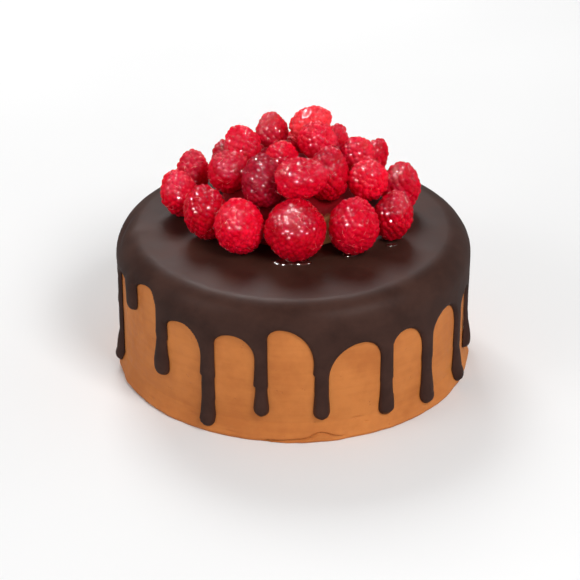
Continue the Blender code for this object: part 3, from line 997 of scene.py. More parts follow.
    def edge_finder(self, edge: np.ndarray) -> Callable[[np.ndarray], tuple[np.ndarray, np.ndarray]]:
        """Makes a function that looks up the nearest place on the edge.

        Args:
            edge: The edge over three turns.

        Returns:
            A function that takes an array of points, and gives the nearest place and the distance for each.
        """
        steps = np.linalg.norm(np.diff(edge, axis=0), axis=1)
        along = np.concatenate([[0.0], np.cumsum(steps)])
        even = np.arange(0, along[-1], self.edge_step)
        spots = np.stack([np.interp(even, along, edge[:, 0]), np.interp(even, along, edge[:, 1])], axis=-1)
        tree = KDTree(len(spots))
        for index, (across, up) in enumerate(spots):
            tree.insert((across, up, 0.0), index)
        tree.balance()

        def nearest(points: np.ndarray) -> tuple[np.ndarray, np.ndarray]:
            """The nearest place on the edge and the distance to it, for each point."""
            found = [tree.find((x, y, 0.0)) for x, y in points.reshape(-1, 2)]
            hits = spots[[hit[1] for hit in found]].reshape(points.shape)
            return hits, np.array([hit[2] for hit in found]).reshape(points.shape[:-1])

        return nearest

    def inside(self, edge: np.ndarray, across: np.ndarray, up: np.ndarray) -> np.ndarray:
        """Whether ganache covers each crossing of a column and a row of the unrolled wall."""
        start, end = edge[:-1], edge[1:]
        covered = np.zeros((len(up), len(across)), bool)
        for column, place in enumerate(across):
            crossed = (start[:, 0] <= place) != (end[:, 0] <= place)
            a, b = start[crossed], end[crossed]
            heights = np.sort(a[:, 1] + (b[:, 1] - a[:, 1]) * (place - a[:, 0]) / (b[:, 0] - a[:, 0]))
            above = len(heights) - np.searchsorted(heights, up, side="right")
            covered[:, column] = above % 2 == 0
        return covered

    def bulb_share(self, across: np.ndarray, up: np.ndarray) -> np.ndarray:
        """1 in the middle of a drip's rounded end, 0 away from it."""
        best = np.zeros_like(across)
        for drip in self.drips:
            for turn in (-360, 0, 360):
                middle = self.flat(drip.bearing + turn, 0.0, drip.tip + self.bulb_middle * drip.bulb)
                apart = np.hypot(across - middle[0], (up - middle[1]) * self.bulb_stretch)
                best = np.maximum(best, 1 - np.minimum(1.0, apart / (drip.bulb * MM * self.bulb_reach)) ** 2)
        return best

    def choose_cells(self, kept: np.ndarray) -> tuple[np.ndarray, np.ndarray, np.ndarray]:
        """Takes the cells of the net whose four corners are kept.

        Args:
            kept: Whether each vertex of the net, by row and column, is far enough inside.

        Returns:
            Which cells are covered, which vertices they use, and which of these lie on the edge.
        """
        pairs = kept[:-1] & kept[1:]
        cells = pairs & np.roll(pairs, -1, axis=1)
        beside = cells.astype(int) + np.roll(cells, 1, axis=1)
        touches = np.zeros(kept.shape, int)
        touches[:-1] += beside
        touches[1:] += beside
        used = touches > 0
        rim = used & (touches < 4)
        rim[-1] = False
        return cells, used, rim

    def neighbour_mean(
        self, moved: np.ndarray, home: np.ndarray, used: np.ndarray, rim: np.ndarray
    ) -> tuple[np.ndarray, np.ndarray]:
        """Mean place of each vertex's neighbours, only of those on the rim for one that lies on it.

        Args:
            moved: How far each vertex has moved from its home.
            home: Its home in the even net.
            used: Whether a covered cell uses it.
            rim: Whether it lies on the edge.

        Returns:
            The mean places, and which vertices have more than one such neighbour.
        """
        pitch = (home[1, 0, 1] - home[0, 0, 1], home[0, 1, 0] - home[0, 0, 0])
        total, count = np.zeros_like(home), np.zeros(used.shape)
        for axis, step in ((0, 1), (0, -1), (1, 1), (1, -1)):
            place = np.roll(moved, step, axis=axis) + home
            place[..., 1 - axis] -= step * pitch[axis]
            beside = np.roll(used, step, axis=axis) & np.where(rim, np.roll(rim, step, axis=axis), True)
            total += place * beside[..., None]
            count += beside
        return total / np.maximum(count, 1)[..., None], count > 1

    def plan(self) -> tuple[np.ndarray, np.ndarray, np.ndarray]:
        """Lays a net of square cells over the unrolled ganache, fitted to its edge.

        Returns:
            Places of the net's vertices by row and column, the depth of ganache over each, and which
            cells are covered.
        """
        once = self.edge()
        turn = TURN * self.form.arc_radius
        edge = np.concatenate([once + (shift * turn, 0) for shift in (-1, 0, 1)])
        nearest = self.edge_finder(edge)
        columns = round(turn / self.cell)
        crown = self.form.crown(self.form.clearance)
        lowest = once[:, 1].min() - 1.5 * self.cell
        rows = round((crown - lowest) / self.cell)
        across = once[0, 0] + turn * np.arange(columns) / columns
        up = np.linspace(lowest, crown, rows + 1)
        home = np.stack(np.broadcast_arrays(across[None, :], up[:, None]), axis=-1)
        net = home.copy()
        near_edge, far = nearest(net)
        signed = np.where(self.inside(edge, across, up), far, -far)
        cells, used, rim = self.choose_cells(signed > -self.keep_share * self.cell)
        net[rim] = near_edge[rim]
        zone = used & (signed < self.relax_cells * self.cell)
        zone[-1] = False
        for _ in range(self.relax_rounds):
            mean, joined = self.neighbour_mean(net - home, home, used, rim)
            ready = zone & joined
            net[ready] = 0.5 * net[ready] + 0.5 * mean[ready]
            net[rim] = nearest(net[rim])[0]
        far = nearest(net)[1]
        far[rim] = 0.0
        return net, self.depth_over(net, far), cells

    def depth_over(self, net: np.ndarray, far: np.ndarray) -> np.ndarray:
        """Depth of ganache over each vertex of the net, from how far it lies from the edge."""
        share = self.bulb_share(net[..., 0], net[..., 1])
        full = self.skin + (self.bulb_depth - self.skin) * share
        reach = self.rounding + self.bulb_rounding * share
        inward = np.minimum(far, reach) / reach
        return self.edge_depth + (full - self.edge_depth) * np.sqrt(1 - (1 - inward) ** 2)

    def build(self) -> bpy.types.Object:
        """Models the ganache from a fitted grid, closed over the top and given its thickness.

        Returns:
            The finished piece.
        """
        self.lay_out()
        net, depth, cells = self.plan()
        rows, columns = cells.shape
        turn = TURN * self.form.arc_radius
        bpy.ops.mesh.primitive_grid_add(x_subdivisions=columns, y_subdivisions=rows, size=2.0)
        piece = bpy.context.active_object
        mesh = piece.data
        start = places(mesh)
        column = np.rint((start[:, 0] + 1) / 2 * columns).astype(int)
        row = np.rint((start[:, 1] + 1) / 2 * rows).astype(int)
        wrapped = column % columns
        across = net[row, wrapped, 0] + turn * (column == columns)
        move_to(mesh, self.form.roll_up(across, net[row, wrapped, 1], self.form.clearance))
        layer = mesh.attributes.new("depth", "FLOAT", "POINT")
        layer.data.foreach_set("value", depth[row, wrapped])
        middles = np.array([start[list(face.vertices)].mean(axis=0) for face in mesh.polygons])
        at_column = np.floor((middles[:, 0] + 1) / 2 * columns).astype(int)
        at_row = np.floor((middles[:, 1] + 1) / 2 * rows).astype(int)
        pick(mesh, "polygons", ~cells[at_row, at_column])
        with editing(piece, "FACE"):
            bpy.ops.mesh.delete(type="FACE")
            bpy.ops.mesh.select_all(action="SELECT")
            bpy.ops.mesh.remove_doubles(threshold=0.00001)
        self.close_top(piece)
        self.thicken(piece)
        settle(piece, "ganache_drips")
        return piece

    def close_top(self, piece: bpy.types.Object) -> None:
        """Carries the ganache inwards over the flat top in rings."""
        mesh = piece.data
        crown = self.form.height + self.form.clearance
        high = places(mesh)[:, 2] > crown - 1e-7
        pick(mesh, "edges", high[edge_ends(mesh)].all(axis=1))
        radius = self.form.radius - self.form.shoulder
        sizes = np.linspace(radius, self.top_hole, self.top_rings + 1)
        with editing(piece, "EDGE"):
            for share in (sizes[1:] / sizes[:-1]).tolist():
                bpy.ops.mesh.extrude_edges_move()
                bpy.ops.transform.resize(value=(share, share, 1), center_override=(0, 0, crown))
            bpy.ops.mesh.extrude_edges_move()
            bpy.ops.mesh.merge(type="CENTER")
            bpy.ops.mesh.select_all(action="SELECT")
            bpy.ops.mesh.normals_make_consistent(inside=False)
        tops = [face for face in mesh.polygons if face.center.z > crown - 1e-6]
        if sum(face.normal.z for face in tops) < 0:
            with editing(piece, "FACE"):
                bpy.ops.mesh.select_all(action="SELECT")
                bpy.ops.mesh.flip_normals()

    def creases(self, points: np.ndarray) -> np.ndarray:
        """How deep the small folds at the left end of the shoulder are at each point, in metres."""
        away = bearings(points) - self.fold_bearing
        near = np.exp(-((away / self.fold_reach) ** 2)) * smoothstep(*self.fold_height, points[:, 2])
        inside = smoothstep(*self.fold_radius, np.hypot(points[:, 0], points[:, 1]))
        turn = TURN * (points[:, 2] / self.fold_pitch + away / self.fold_lean)
        return self.fold_depth * near * inside * (0.5 + 0.5 * np.cos(turn)) ** 2

    def thicken(self, piece: bpy.types.Object) -> None:
        """Gives the ganache its depth, thin at its edge and full in the rounded ends."""
        mesh = piece.data
        points = places(mesh)
        depth = np.empty(len(points), np.float32)
        mesh.attributes["depth"].data.foreach_get("value", depth)
        wave = self.top_wave.at(points) + self.top_ripple.at(points) - self.creases(points)
        depth = depth + wave * smoothstep(*self.wave_start, depth)
        deepest = float(depth.max())
        group = piece.vertex_groups.new(name="depth")
        for index, value in enumerate(depth / deepest):
            group.add([index], float(value), "REPLACE")
        skin = piece.modifiers.new("skin", "SOLIDIFY")
        skin.thickness = deepest
        skin.offset = 1.0
        skin.vertex_group = "depth"
        apply_modifiers(piece)
        piece.vertex_groups.clear()
        mesh.attributes.remove(mesh.attributes["depth"])

    def dress(self, piece: bpy.types.Object, finish: bpy.types.Material) -> None:
        """Gives the ganache its finish and its place in the frame."""
        piece.data.materials.append(finish)
        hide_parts("ganache")
        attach(piece, BODY)


# ---------------------------------------------------------------- the mound


@dataclass
class CreamMound:
    """The low mound of buttercream that carries the raspberries."""

    middle: tuple[float, float] = (0.0, 12.0 * MM)
    radius: float = 36.0 * MM
    height: float = 27.0 * MM
    base: float = 69.3 * MM
    unevenness: Relief = Relief(9 * MM, 0.5 * MM, 6.1)
    inset: float = 0.3 * MM

    def build(self) -> bpy.types.Object:
        """Models the mound from the upper half of a sphere.

        Returns:
            The finished piece.
        """
        bpy.ops.mesh.primitive_uv_sphere_add(segments=96, ring_count=64, radius=1.0)
        piece = bpy.context.active_object
        with editing(piece, "FACE"):
            bpy.ops.mesh.select_all(action="SELECT")
            bpy.ops.mesh.bisect(plane_co=(0, 0, 0.0), plane_no=(0, 0, 1), use_fill=True, clear_inner=True)
            bpy.ops.mesh.select_all(action="SELECT")
            bpy.ops.transform.resize(value=(self.radius, self.radius, self.height), center_override=(0, 0, 0))
            bpy.ops.transform.translate(value=(*self.middle, self.base))
        points = places(piece.data)
        away = points - np.array([*self.middle, self.base])
        length = np.linalg.norm(away, axis=1, keepdims=True)
        rise = smoothstep(0.0, 3 * MM, away[:, 2])[:, None]
        outward = (self.unevenness.at(points) - self.inset)[:, None] * rise
        move_to(piece.data, points + away / np.maximum(length, 1e-9) * outward)
        settle(piece, "buttercream_mound_cream")
        return piece

    def dress(self, piece: bpy.types.Object, finish: bpy.types.Material) -> None:
        """Gives the mound its finish and its place in the frame."""
        piece.data.materials.append(finish)
        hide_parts("buttercream_mound")
        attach(piece, BODY)


# ---------------------------------------------------------------- the raspberries


@dataclass
class MeshStore:
    """Gathers copies of small shapes into one mesh."""

    points: list[np.ndarray] = field(default_factory=list)
    faces: list[np.ndarray] = field(default_factory=list)
    slots: list[np.ndarray] = field(default_factory=list)
    count: int = 0

    def paste(self, points: np.ndarray, faces: np.ndarray, slot: int) -> None:
        """Adds one shape.

        Args:
            points: Its vertices.
            faces: Its triangles.
            slot: The material slot of its faces.
        """
        self.points.append(points)
        self.faces.append(faces + self.count)
        self.slots.append(np.full(len(faces), slot))
        self.count += len(points)

    def to_object(self, name: str) -> bpy.types.Object:
        """Makes a linked object of all that was added."""
        mesh = bpy.data.meshes.new(name)
        mesh.from_pydata(np.concatenate(self.points).tolist(), [], np.concatenate(self.faces).tolist())
        mesh.polygons.foreach_set("material_index", np.concatenate(self.slots))
        mesh.update()
        made = bpy.data.objects.new(name, mesh)
        bpy.context.scene.collection.objects.link(made)
        return made


def triangles_of(piece: bpy.types.Object) -> tuple[np.ndarray, np.ndarray]:
    """Takes the vertices and triangles of a model shape, and removes it.

    Args:
        piece: The shape that copies are made of.

    Returns:
        Its vertices and its triangles.
    """
    work = bmesh.new()
    work.from_mesh(piece.data)
    bmesh.ops.triangulate(work, faces=work.faces)
    work.verts.index_update()
    points = np.array([vert.co for vert in work.verts])
    faces = np.array([[vert.index for vert in face.verts] for face in work.faces])
    work.free()
    bpy.data.objects.remove(piece, do_unlink=True)
    return points, faces


def model_ball() -> tuple[np.ndarray, np.ndarray]:
    """A ball of radius 1 that every raspberry's skin is shaped from."""
    bpy.ops.mesh.primitive_ico_sphere_add(subdivisions=6, radius=1.0)
    return triangles_of(bpy.context.active_object)


@dataclass
class RaspberryKind:
    """Sizes that all the raspberries share."""

    pitch: float = 2.6 * MM
    swell: float = 1.08
    cap_share: float = 0.70
    relief: float = 0.85
    glaze: float = 0.11 * MM
    ripple: float = 0.03 * MM
    ripple_width: float = 2.4 * MM
    valley_share: float = 0.42
    hollow: Triple = (0.42, -0.90, 0.62)
    taper: float = 0.14
    opening: float = -0.955
    fullness: float = 2.05
    place_jitter: float = 0.20
    size_jitter: float = 0.18
    pool_cosines: tuple[float, float] = (0.90, 0.955)
    pool_depth: float = 0.5 * MM
    dent_width: float = 8.0 * MM
    dent_depth: float = 0.05
    edge_share: float = 0.55
    fewest_seats: int = 40
    hair_share: float = 0.19
    hair_length: tuple[float, float] = (1.8 * MM, 3.6 * MM)
    hair_radius: float = 0.040 * MM
    hair_steps: int = 4
    hair_lift: tuple[float, float] = (0.1 * MM, 0.5 * MM)
    hair_sway: float = 0.6
    hair_depth: float = 0.05 * MM


@dataclass
class Raspberry:
    """One raspberry of the heap, posed as its solid in the frame."""

    number: int
    ripeness: Ripeness
    kind: RaspberryKind
    middle: np.ndarray = field(default_factory=lambda: np.zeros(3))
    axes: np.ndarray = field(default_factory=lambda: np.eye(3))
    across: float = 0.0
    half: float = 0.0
    pool: Triple | None = None

    @property
    def node(self) -> str:
        """Name of the solid that the raspberry stands for."""
        return f"raspberry_{self.number:02d}"

    def read_pose(self) -> None:
        """Takes the middle, the axes and the sizes from the solid, whose hollow marks the stalk end."""
        corners = np.unique(np.round(places(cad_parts[self.node].data), 7), axis=0)
        centre = corners.mean(axis=0)
        hollow = corners[np.argmin(np.linalg.norm(corners - centre, axis=1))]
        rest = corners[np.linalg.norm(corners - hollow, axis=1) > 1e-5]
        self.middle = rest.mean(axis=0)
        tip = self.middle - hollow
        tip /= np.linalg.norm(tip)
        turn = Vector(tip).to_track_quat("Z", "Y").to_matrix()
        self.axes = np.array(turn)
        local = (rest - self.middle) @ self.axes
        self.half = float(np.abs(local[:, 2]).max()) * self.kind.swell
        self.across = float(np.hypot(local[:, 0], local[:, 1]).max()) * self.kind.swell

    def girth(self, rise: np.ndarray) -> np.ndarray:
        """Radius of the raspberry's side at each rise, -1 at the stalk end and 1 at the tip."""
        power = np.where(rise < 0, self.kind.fullness, 2.0)
        flat = np.maximum(0.0, 1 - np.abs(rise) ** power) ** (1 / power)
        return flat * (1 - self.kind.taper * np.maximum(0.0, rise)) * self.across

    def outline(self) -> tuple[np.ndarray, np.ndarray]:
        """Radius and height along the raspberry's side from the opening up to the tip."""
        rise = np.sin(np.linspace(math.asin(self.kind.opening), math.pi / 2, 240))
        return self.girth(rise), rise * self.half

    def seats(self, dice: random.Random) -> tuple[np.ndarray, np.ndarray]:
        """Where the drupelets sit, on a spiral with the golden angle.

        Args:
            dice: Source of the small differences.

        Returns:
            Places on the raspberry's outside in its own axes, and the outward direction at each.
        """
        radius, height = self.outline()
        steps = np.hypot(np.diff(radius), np.diff(height))
        inset = 1 - self.kind.edge_share * self.kind.pitch / self.across
        rings = np.concatenate([[0.0], np.cumsum(steps * (radius[:-1] + radius[1:]) / 2 * TURN)])
        count = max(self.kind.fewest_seats, int(rings[-1] * inset**2 / (HEXAGON_SHARE * self.kind.pitch**2)))
        wanted = (np.arange(count) + 0.5) / count * rings[-1]
        ring = np.interp(wanted, rings, np.arange(len(rings)))
        slope_r, slope_h = np.gradient(radius), np.gradient(height)
        start = dice.uniform(0, TURN)
        seats, outward = [], []
        for index, spot in enumerate(ring):
            bearing = start + index * GOLDEN_ANGLE
            jitter = self.kind.place_jitter * self.kind.pitch
            r = np.interp(spot, np.arange(len(radius)), radius)
            h = np.interp(spot, np.arange(len(height)), height) + dice.uniform(-jitter, jitter)
            dr = np.interp(spot, np.arange(len(radius)), slope_r)
            dh = np.interp(spot, np.arange(len(height)), slope_h)
            bearing += dice.uniform(-jitter, jitter) / max(r, self.kind.pitch)
            side = np.array([math.cos(bearing), math.sin(bearing)])
            normal = np.array([*(side * dh), -dr])
            seats.append([*(side * r), h])
            outward.append(normal / np.linalg.norm(normal))
        return np.array(seats), np.array(outward)

    def skin(self, ball: np.ndarray, seats: np.ndarray, dice: random.Random) -> np.ndarray:
        """Shapes the skin: a cap over each seat, with glaze rounding the valleys between them.

        Args:
            ball: Points of the ball of radius 1.
            seats: Where the drupelets sit.
            dice: Source of the small differences.

        Returns:
            The ball's points, moved to the skin in the raspberry's own axes.
        """
        kind = self.kind
        flat = np.hypot(ball[:, 0], ball[:, 1])
        rise = ball[:, 2]
        side = ball[:, :2] / np.maximum(flat, 1e-9)[:, None]
        base = np.column_stack([side * self.girth(rise)[:, None], rise * self.half])
        outward = base / np.array([self.across**2, self.across**2, self.half**2])
        outward /= np.linalg.norm(outward, axis=1, keepdims=True)

        usual = kind.pitch * kind.cap_share
        radii = np.array([usual * (1 + dice.uniform(-1, 1) * kind.size_jitter) for _ in seats])
        apart = (base**2).sum(axis=1)[:, None] + (seats**2).sum(axis=1)[None] - 2 * base @ seats.T
        under = radii**2 - apart
        caps = np.where(under > 0, np.exp((np.sqrt(np.maximum(under, 0.0)) - usual) / kind.glaze), 0.0)
        lowest = math.exp((kind.valley_share - 1) * usual / kind.glaze)
        height = kind.glaze * np.log(caps.sum(axis=1) + lowest) * kind.relief
        height += kind.ripple * (lumps(base, kind.ripple_width, dice.uniform(0, 100)) - 0.5)

        wide, low, deep = kind.hollow
        inside = (rise < 0) & (flat < wide)
        height[inside] *= smoothstep(wide * 0.8, wide, flat[inside])
        base[inside, 2] = self.half * (low + deep * (1 - smoothstep(wide / 2, wide, flat[inside])))
        points = base + outward * height[:, None]
        if self.pool is not None:
            way = self.axes.T @ np.array(self.pool)
            level = points @ way
            inside = smoothstep(*kind.pool_cosines, level / np.linalg.norm(points, axis=1))
            points += way * ((level.max() - kind.pool_depth - level) * inside)[:, None]
        return points

    def add_hairs(
        self, store: MeshStore, seats: np.ndarray, outward: np.ndarray, dice: random.Random
    ) -> None:
        """Adds a fine curved hair on about one drupelet in five, lying close to its neighbours.

        Args:
            store: Takes the hairs.
            seats: Where each drupelet lies.
            outward: Which way each faces.
            dice: Source of the differences.
        """
        for seat, normal in zip(seats, outward):
            if dice.random() > self.kind.hair_share:
                continue
            bearing = dice.uniform(0, TURN)
            first = np.cross(normal, (0.3, 0.5, 0.8))
            first /= np.linalg.norm(first)
            second = np.cross(normal, first)
            along = first * math.cos(bearing) + second * math.sin(bearing)
            sideways = np.cross(normal, along) * dice.uniform(-self.kind.hair_sway, self.kind.hair_sway)
            length = dice.uniform(*self.kind.hair_length)
            bend = 1 / (2 * max(self.across * 0.9, 1e-6))
            lift = dice.uniform(*self.kind.hair_lift)
            line = []
            for step in range(self.kind.hair_steps + 1):
                share = step / self.kind.hair_steps
                run = share * length
                rise = lift * math.sin(math.pi * min(1.0, share * 1.1)) - bend * run * run
                rise -= self.kind.hair_depth
                line.append(seat + along * run + sideways * run * share + normal * rise)
            self.add_hair(store, np.array(line), normal)

    def add_hair(self, store: MeshStore, line: np.ndarray, normal: np.ndarray) -> None:
        """Adds one thin three-sided tube along a line."""
        sides = []
        for step, place in enumerate(line):
            ahead = line[min(step + 1, len(line) - 1)] - line[max(step - 1, 0)]
            ahead /= np.linalg.norm(ahead)
            left = np.cross(normal, ahead)
            left /= np.linalg.norm(left)
            over = np.cross(ahead, left)
            radius = self.kind.hair_radius * (1 - 0.5 * step / len(line))
            for turn in (0, 120, 240):
                way = left * math.cos(math.radians(turn)) + over * math.sin(math.radians(turn))
                sides.append(place + way * radius)
        faces = [(0, 2, 1)]
        for step in range(len(line) - 1):
            for side in range(3):
                a, b = step * 3 + side, step * 3 + (side + 1) % 3
                faces += [(a, b, b + 3), (a, b + 3, a + 3)]
        last = (len(line) - 1) * 3
        faces.append((last, last + 1, last + 2))
        store.paste(np.array(sides), np.array(faces), 1)

    def build(self, ball: tuple[np.ndarray, np.ndarray]) -> bpy.types.Object:
        """Models the raspberry's skin, with the hollow of the stalk, and its hairs.

        Args:
            ball: Points and triangles of the ball of radius 1.

        Returns:
            The finished piece.
        """
        self.read_pose()
        dice = random.Random(100 + self.number)
        seats, outward = self.seats(dice)
        store = MeshStore()
        store.paste(self.skin(ball[0], seats, dice), ball[1], 0)
        self.add_hairs(store, seats, outward, dice)
        seed = dice.uniform(0, 100)
        for index, points in enumerate(store.points):
            dent = np.minimum(0.0, lumps(points, self.kind.dent_width, seed))[:, None]
            store.points[index] = (points * (1 + self.kind.dent_depth * dent)) @ self.axes.T + self.middle
        piece = store.to_object(self.node + "_fine")
        settle(piece, self.node + "_fine")
        return piece

    def dress(self, piece: bpy.types.Object, flesh: bpy.types.Material, hair: bpy.types.Material) -> None:
        """Gives the raspberry its finishes and its place in the frame."""
        piece.data.materials.append(flesh)
        piece.data.materials.append(hair)
        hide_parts(self.node)
        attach(piece, BODY)


@dataclass
class Heap:
    """The thirty raspberries, with how ripe each is."""

    kind: RaspberryKind = field(default_factory=RaspberryKind)
    count: int = 30
    deep: tuple[int, ...] = (16,)
    dark: tuple[int, ...] = (2, 4, 6, 12, 17, 27)
    bright: tuple[int, ...] = (1, 3, 10, 18, 19, 22, 24, 26, 29)
    # The pale raspberry's paler, pinker flesh is partly painted highlight.
    pale: tuple[int, ...] = (30,)
    pools: dict[int, Triple] = field(default_factory=lambda: {30: (-0.259, -0.454, 0.853)})

    def ripeness(self, number: int) -> Ripeness:
        """How ripe one raspberry is."""
        for ripeness in (Ripeness.DEEP, Ripeness.DARK, Ripeness.BRIGHT, Ripeness.PALE):
            if number in getattr(self, ripeness.value):
                return ripeness
        return Ripeness.RIPE

    def build(
        self, flesh: dict[Ripeness, bpy.types.Material], hair: bpy.types.Material
    ) -> list[bpy.types.Object]:
        """Builds and dresses every raspberry.

        Args:
            flesh: The finish for each ripeness.
            hair: The finish of the hairs.

        Returns:
            The finished pieces.
        """
        ball = model_ball()
        pieces = []
        for number in range(1, self.count + 1):
            berry = Raspberry(number, self.ripeness(number), self.kind, pool=self.pools.get(number))
            piece = berry.build(ball)
            berry.dress(piece, flesh[berry.ripeness], hair)
            pieces.append(piece)
        return pieces


@dataclass
class Syrup:
    """Thin glaze that ran off the raspberries: a small pool and a few drops on the ganache."""

    level: float = 68.95 * MM
    drops: tuple[tuple[float, float, float, float, float], ...] = (
        (-4.0, -38.2, 5.4, 3.0, 1.05),
        (3.2, -38.6, 5.6, 2.8, 1.10),
        (-21.2, -27.6, 2.4, 1.8, 0.85),
        (-25.6, -29.4, 1.6, 1.3, 0.5),
        (26.5, -31.0, 3.6, 2.2, 0.90),
        (-40.0, -15.0, 2.6, 1.8, 0.5),
        (46.0, -21.0, 2.4, 1.6, 0.5),
    )

    def build(self) -> bpy.types.Object:
        """Models each drop as a flattened ball, sunk to its middle in the ganache, and joins them.

        Returns:
            The finished piece.
        """
        made = []
        for x, y, wide, deep, tall in self.drops:
            bpy.ops.mesh.primitive_uv_sphere_add(
                segments=32, ring_count=18, radius=1.0, location=(x * MM, y * MM, self.level)
            )
            drop = bpy.context.active_object
            points = places(drop.data)
            spread = 1 + 0.22 * lumps(points, 0.8, x)[:, None]
            move_to(drop.data, points * spread * (wide * MM, deep * MM, tall * MM))
            select_only(drop)
            bpy.ops.object.transform_apply(location=True, rotation=True, scale=True)
            made.append(drop)
        for drop in made:
            drop.select_set(True)
        bpy.context.view_layer.objects.active = made[0]
        bpy.ops.object.join()
        piece = bpy.context.active_object
        settle(piece, "syrup_drops")
        return piece

    def dress(self, piece: bpy.types.Object, finish: bpy.types.Material) -> None:
        """Gives the syrup its finish and its place in the frame."""
        piece.data.materials.append(finish)
        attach(piece, BODY)


# ---------------------------------------------------------------- the studio


@dataclass
class Lamp:
    """One soft area light, aimed at a point of the cake."""

    name: str
    place: Triple
    size: float
    power: float
    aim: Triple = (0.0, 0.0, 0.06)
    lights: bool = True
    glints: bool = True
    only: bpy.types.Collection | None = None

    def build(self) -> None:
        """Adds the light."""
        light = bpy.data.lights.new(self.name, "AREA")
        light.shape = "SQUARE"
        light.size = self.size
        light.energy = self.power
        made = bpy.data.objects.new(self.name, light)
        made.location = self.place
        way = Vector(self.aim) - Vector(self.place)
        made.rotation_euler = way.to_track_quat("-Z", "Y").to_euler()
        made.visible_diffuse = self.lights
        made.visible_glossy = self.glints
        if self.only is not None:
            made.light_linking.receiver_collection = self.only
        bpy.context.scene.collection.objects.link(made)


@dataclass
class Studio:
    """The plain pale floor, the soft light and the camera."""

    floor_size: float = 6.0
    sky: float = 0.22
    glow: float = 0.70
    horizon: tuple[float, float] = (0.25, 0.70)
    mirrored_share: float = 0.30
    camera_place: Triple = (-0.001596, -1.0186, 0.5886)
    camera_tilt: float = 0.499
    sensor: float = 36.0
    focal_pixels: float = 2400.0
    image_width: float = 580.0
    lamps: tuple[Lamp, ...] = (
        Lamp("key", (0.55, -0.80, 1.00), 0.5, 10.3, glints=False),
        Lamp("left_fill", (-0.9, -0.5, 0.7), 0.5, 2.2, glints=False),
        Lamp("back_fill", (-0.25, 0.9, 0.9), 0.5, 8.0, glints=False),
    )
    sheens: tuple[Lamp, ...] = (
        Lamp("back_sheen", (-0.05, 0.85, 0.95), 0.40, 5.0, lights=False),
        Lamp("right_sheen", (0.62, -0.55, 0.85), 0.50, 3.0, lights=False),
        Lamp("left_sheen", (-0.75, -0.35, 0.80), 0.50, 1.4, lights=False),
    )
    glints: tuple[Lamp, ...] = (
        Lamp("front_glint", (-0.20, -0.62, 0.98), 0.26, 74.0, lights=False),
        Lamp("top_glint", (-0.40, 0.25, 1.05), 0.18, 8.0, lights=False),
        Lamp("right_glint", (0.62, -0.55, 0.85), 0.18, 16.0, lights=False),
        Lamp("left_glint", (-0.75, -0.35, 0.80), 0.18, 16.0, lights=False),
        Lamp("back_glint", (0.0, 1.0, 0.64), 0.35, 5.0, lights=False),
        Lamp("right_rim", (0.70, 0.85, 0.65), 0.40, 1.5, lights=False),
    )

    def build_floor(self, finish: bpy.types.Material) -> None:
        """Adds the floor, just under the cake."""
        bpy.ops.mesh.primitive_plane_add(size=self.floor_size, location=(0, 0, -0.2 * MM))
        floor = bpy.context.active_object
        with editing(floor, "FACE"):
            bpy.ops.mesh.select_all(action="SELECT")
            bpy.ops.mesh.subdivide(number_cuts=7)
        settle(floor, "floor")
        floor.visible_glossy = False
        floor.data.materials.append(finish)

    def build_light(self, satin: bpy.types.Collection, glazed: bpy.types.Collection) -> None:
        """Adds the even white surroundings and the lamps.

        Args:
            satin: The satin pieces, which alone mirror the wide dim lamps.
            glazed: The glazed pieces, which alone mirror the bright small lamps.
        """
        world = bpy.data.worlds.new("surroundings")
        world.use_nodes = True
        nodes = Nodes(world.node_tree)
        back = world.node_tree.nodes["Background"]
        where = nodes.add("ShaderNodeTexCoord").outputs["Generated"]
        rise = nodes.add("ShaderNodeSeparateXYZ", None, Vector=where).outputs["Z"]
        glow = nodes.ramp(rise, *self.horizon, self.sky + self.glow, self.sky)
        mirrored = nodes.add("ShaderNodeLightPath").outputs["Is Glossy Ray"]
        kept = nodes.ramp(mirrored, 0.0, 1.0, 1.0, self.mirrored_share)
        nodes.feed(back.inputs["Strength"], nodes.product(glow, kept))
        nodes.feed(back.inputs["Color"], colour(1.0, 1.0, 1.0))
        bpy.context.scene.world = world
        for lamp in self.lamps:
            lamp.build()
        for lamp in self.sheens:
            replace(lamp, only=satin).build()
        for lamp in self.glints:
            replace(lamp, only=glazed).build()
        bpy.context.scene.view_settings.view_transform = "Standard"

    def build_camera(self) -> None:
        """Adds the camera at the photograph's place and angle."""
        camera = bpy.data.cameras.new("camera")
        camera.sensor_width = self.sensor
        camera.lens = self.sensor * self.focal_pixels / self.image_width
        camera.clip_start = 0.01
        made = bpy.data.objects.new("camera", camera)
        made.location = self.camera_place
        made.rotation_euler = (math.pi / 2 - self.camera_tilt, 0.0, 0.0)
        bpy.context.scene.collection.objects.link(made)
        bpy.context.scene.camera = made


# ---------------------------------------------------------------- all together


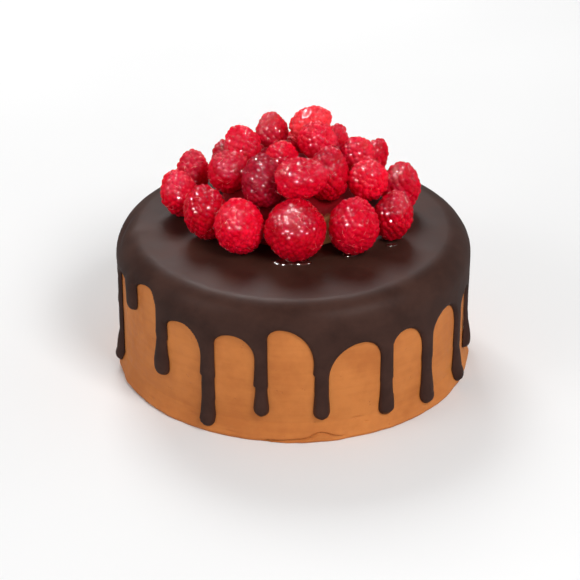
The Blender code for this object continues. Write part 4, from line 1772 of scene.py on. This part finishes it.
def report(name: str, pieces: list[bpy.types.Object]) -> None:
    """Logs what was made, and how many faces it has."""
    log.info("%s: %d faces", name, sum(len(piece.data.polygons) for piece in pieces))


def collect(name: str, pieces: list[bpy.types.Object]) -> bpy.types.Collection:
    """Makes a collection of the pieces that some lamps alone are mirrored in."""
    made = bpy.data.collections.new(name)
    for piece in pieces:
        made.objects.link(piece)
    return made


def build_satin() -> list[bpy.types.Object]:
    """Builds and dresses the buttercream wall, the ganache and the mound."""
    form = CakeForm()
    shapes = (
        (CreamWall(form), CreamFinish().make(cream_surface())),
        (Ganache(form), GanacheFinish().make()),
        (CreamMound(), MoundFinish().make()),
    )
    pieces = []
    for shape, finish in shapes:
        piece = shape.build()
        shape.dress(piece, finish)
        report(piece.name, [piece])
        pieces.append(piece)
    return pieces


def build_glazed() -> list[bpy.types.Object]:
    """Builds and dresses the raspberries and the syrup that ran off them."""
    skin = berry_surface()
    finishes = (
        BerryFinish(Ripeness.DEEP, (0.28, 0.002, 0.012), (0.44, 0.006, 0.024)),
        BerryFinish(Ripeness.DARK, (0.44, 0.001, 0.008), (0.60, 0.002, 0.016)),
        BerryFinish(Ripeness.RIPE, (0.52, 0.001, 0.012), (0.68, 0.003, 0.022)),
        BerryFinish(Ripeness.BRIGHT, (0.66, 0.001, 0.014), (0.82, 0.005, 0.028)),
        # The pale flesh is partly painted highlight: lighter red with more green and blue.
        BerryFinish(Ripeness.PALE, (0.74, 0.012, 0.024), (0.92, 0.040, 0.056)),
    )
    flesh = {finish.ripeness: finish.make(skin) for finish in finishes}
    berries = Heap().build(flesh, HairFinish().make())
    report("raspberries", berries)
    syrup = Syrup()
    piece = syrup.build()
    syrup.dress(piece, GlazeFinish().make())
    report(piece.name, [piece])
    return [*berries, piece]


def main() -> None:
    """Builds every piece in order."""
    logging.basicConfig(level=logging.INFO, format="%(name)s %(message)s")
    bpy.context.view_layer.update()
    satin = collect("satin", build_satin())
    glazed = collect("glazed", build_glazed())

    studio = Studio()
    studio.build_floor(FloorFinish().make())
    studio.build_light(satin, glazed)
    studio.build_camera()


if __name__ == "__main__":
    main()
